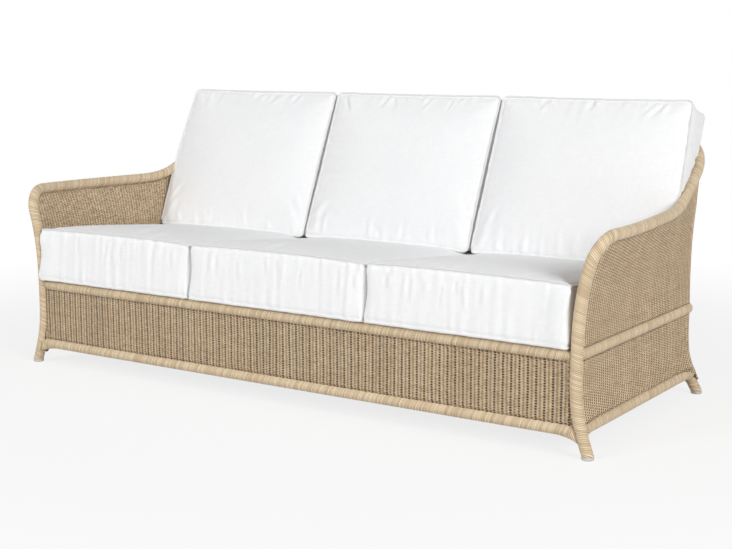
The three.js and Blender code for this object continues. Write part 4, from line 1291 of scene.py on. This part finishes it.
def add_seams(piece, loops):
    """A thin sewn lip along each seam, in the same object."""
    points, normals = vertices_of(piece), normals_of(piece)
    angles = np.arange(SEAM_SIDES)[:, None] * 2 * math.pi / SEAM_SIDES

    def sew(made):
        layer = made.loops.layers.uv.verify()
        for loop in loops:
            path = points[loop] + normals[loop] * SEAM_RADIUS * SEAM_LIFT
            tangent = np.roll(path, -1, 0) - np.roll(path, 1, 0)
            tangent /= np.linalg.norm(tangent, axis=1)[:, None]
            spoke = normals[loop] - tangent * (normals[loop] * tangent).sum(1)[:, None]
            spoke /= np.linalg.norm(spoke, axis=1)[:, None]
            over = np.cross(tangent, spoke)
            lengths = lengths_along(np.vstack([path, path[:1]]))
            rings = []
            for centre, out, sideways in zip(path, spoke, over):
                ring = centre + SEAM_RADIUS * (np.cos(angles) * out + np.sin(angles) * sideways)
                rings.append([made.verts.new(corner) for corner in ring])
            for i, ring in enumerate(rings):
                after = rings[(i + 1) % len(rings)]
                for side in range(SEAM_SIDES):
                    beside = (side + 1) % SEAM_SIDES
                    face = made.faces.new([ring[side], after[side], after[beside], ring[beside]])
                    face.smooth, face.material_index = True, 1
                    uvs = ((i, side), (i + 1, side), (i + 1, side + 1), (i, side + 1))
                    for corner, (u, v) in zip(face.loops, uvs):
                        corner[layer].uv = (lengths[u], v * SEAM_RADIUS)

    edit_mesh(piece, sew)


def make_cushion(name, cover, middle_x, seat_width, seed):
    piece, loops, flat = boxed_cover(f"{name}_cover", cover, START_FULLNESS)
    fill_cover(piece, flat, loops, cover, seed)
    subdivide(piece, loops)
    gather(piece, loops, seed + 50)
    crease_cloth(piece, cover, seed + 90)
    local = vertices_of(piece)
    if cover.seat:
        move_vertices(piece, place_seat(local, middle_x, cover))
    else:
        move_vertices(piece, place_back(local, middle_x, cover, seat_width))
    paint(piece, FABRIC, SEAM)
    add_seams(piece, loops)
    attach(piece, name)
    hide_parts(name)


seat_ends = [-OUTER_X, -SEAM_OFFSET, SEAM_OFFSET, OUTER_X]
back_ends = [-BACK_OUTER_X, -SEAM_OFFSET, SEAM_OFFSET, BACK_OUTER_X]
for i, (name, side) in enumerate((("left", -1), ("middle", 0), ("right", 1))):
    seat_width = seat_ends[i + 1] - seat_ends[i] - FIT_GAP
    back_width = back_ends[i + 1] - back_ends[i] - BACK_GAP
    seat, back = Cover(True, seat_width, side), Cover(False, back_width, side)
    make_cushion(f"{name}_seat_cushion", seat, (seat_ends[i] + seat_ends[i + 1]) / 2, seat_width, 11 + i)
    make_cushion(f"{name}_back_cushion", back, (back_ends[i] + back_ends[i + 1]) / 2, seat_width, 31 + i)


# Floor, light and camera

def floor():
    """A pale floor. The camera sees it glow towards white away from the sofa, and its shadow stays."""
    size = 60.0
    corners = [(-size, -size, 0), (size, -size, 0), (size, size, 0), (-size, size, 0)]
    plane = new_mesh("floor", corners, [(0, 1, 2, 3)])
    material = bpy.data.materials.new("floor")
    nodes = Nodes(material, "ShaderNodeOutputMaterial")
    diffuse = nodes.node("ShaderNodeBsdfDiffuse", Color=(0.82, 0.82, 0.82, 1))
    glow = nodes.node("ShaderNodeEmission", Strength=1.0)
    away = nodes.node("ShaderNodeVectorMath", {"operation": "LENGTH"}, Vector=nodes.place())
    share = nodes.out(away, "Value").span(1.2, 3.2, 0.80, 1.0)
    nodes.close(nodes.seen() * share, diffuse, glow)
    plane.data.materials.append(material)


def world():
    """Soft light from all round, and a plain white for the camera."""
    made = bpy.data.worlds.new("studio")
    bpy.context.scene.world = made
    nodes = Nodes(made, "ShaderNodeOutputWorld")
    soft = nodes.node("ShaderNodeBackground", Color=(1, 1, 1, 1), Strength=SOFT_LIGHT)
    white = nodes.node("ShaderNodeBackground", Color=(1, 1, 1, 1), Strength=1.0)
    nodes.close(nodes.seen(), soft, white)


def lamp(name, place, size, power):
    data = bpy.data.lights.new(name, "AREA")
    data.shape = "DISK"
    data.size = size
    data.energy = power
    light = bpy.data.objects.new(name, data)
    light.location = place
    light.rotation_euler = (Vector(LAMP_TARGET) - Vector(place)).to_track_quat("-Z", "Y").to_euler()
    light.visible_camera = False
    bpy.context.scene.collection.objects.link(light)


def camera():
    """The photograph's camera, as fitted: its focal length in pixels over the picture's width."""
    data = bpy.data.cameras.new("camera")
    data.sensor_width = 36.0
    data.lens = data.sensor_width * FOCAL_PIXELS / PICTURE_WIDTH
    eye = bpy.data.objects.new("camera", data)
    eye.location = Vector(EYE) + Vector(SHIFT)
    eye.rotation_euler = (math.pi / 2 - EYE_PITCH, 0.0, EYE_YAW)
    bpy.context.scene.collection.objects.link(eye)
    bpy.context.scene.camera = eye


floor()
world()
lamp("key", (-2.6, -8.6, 4.6), 3.6, 420)
lamp("fill", (8.0, -3.0, 4.4), 4.0, 460)
camera()
bpy.context.scene.view_settings.view_transform = "Standard"
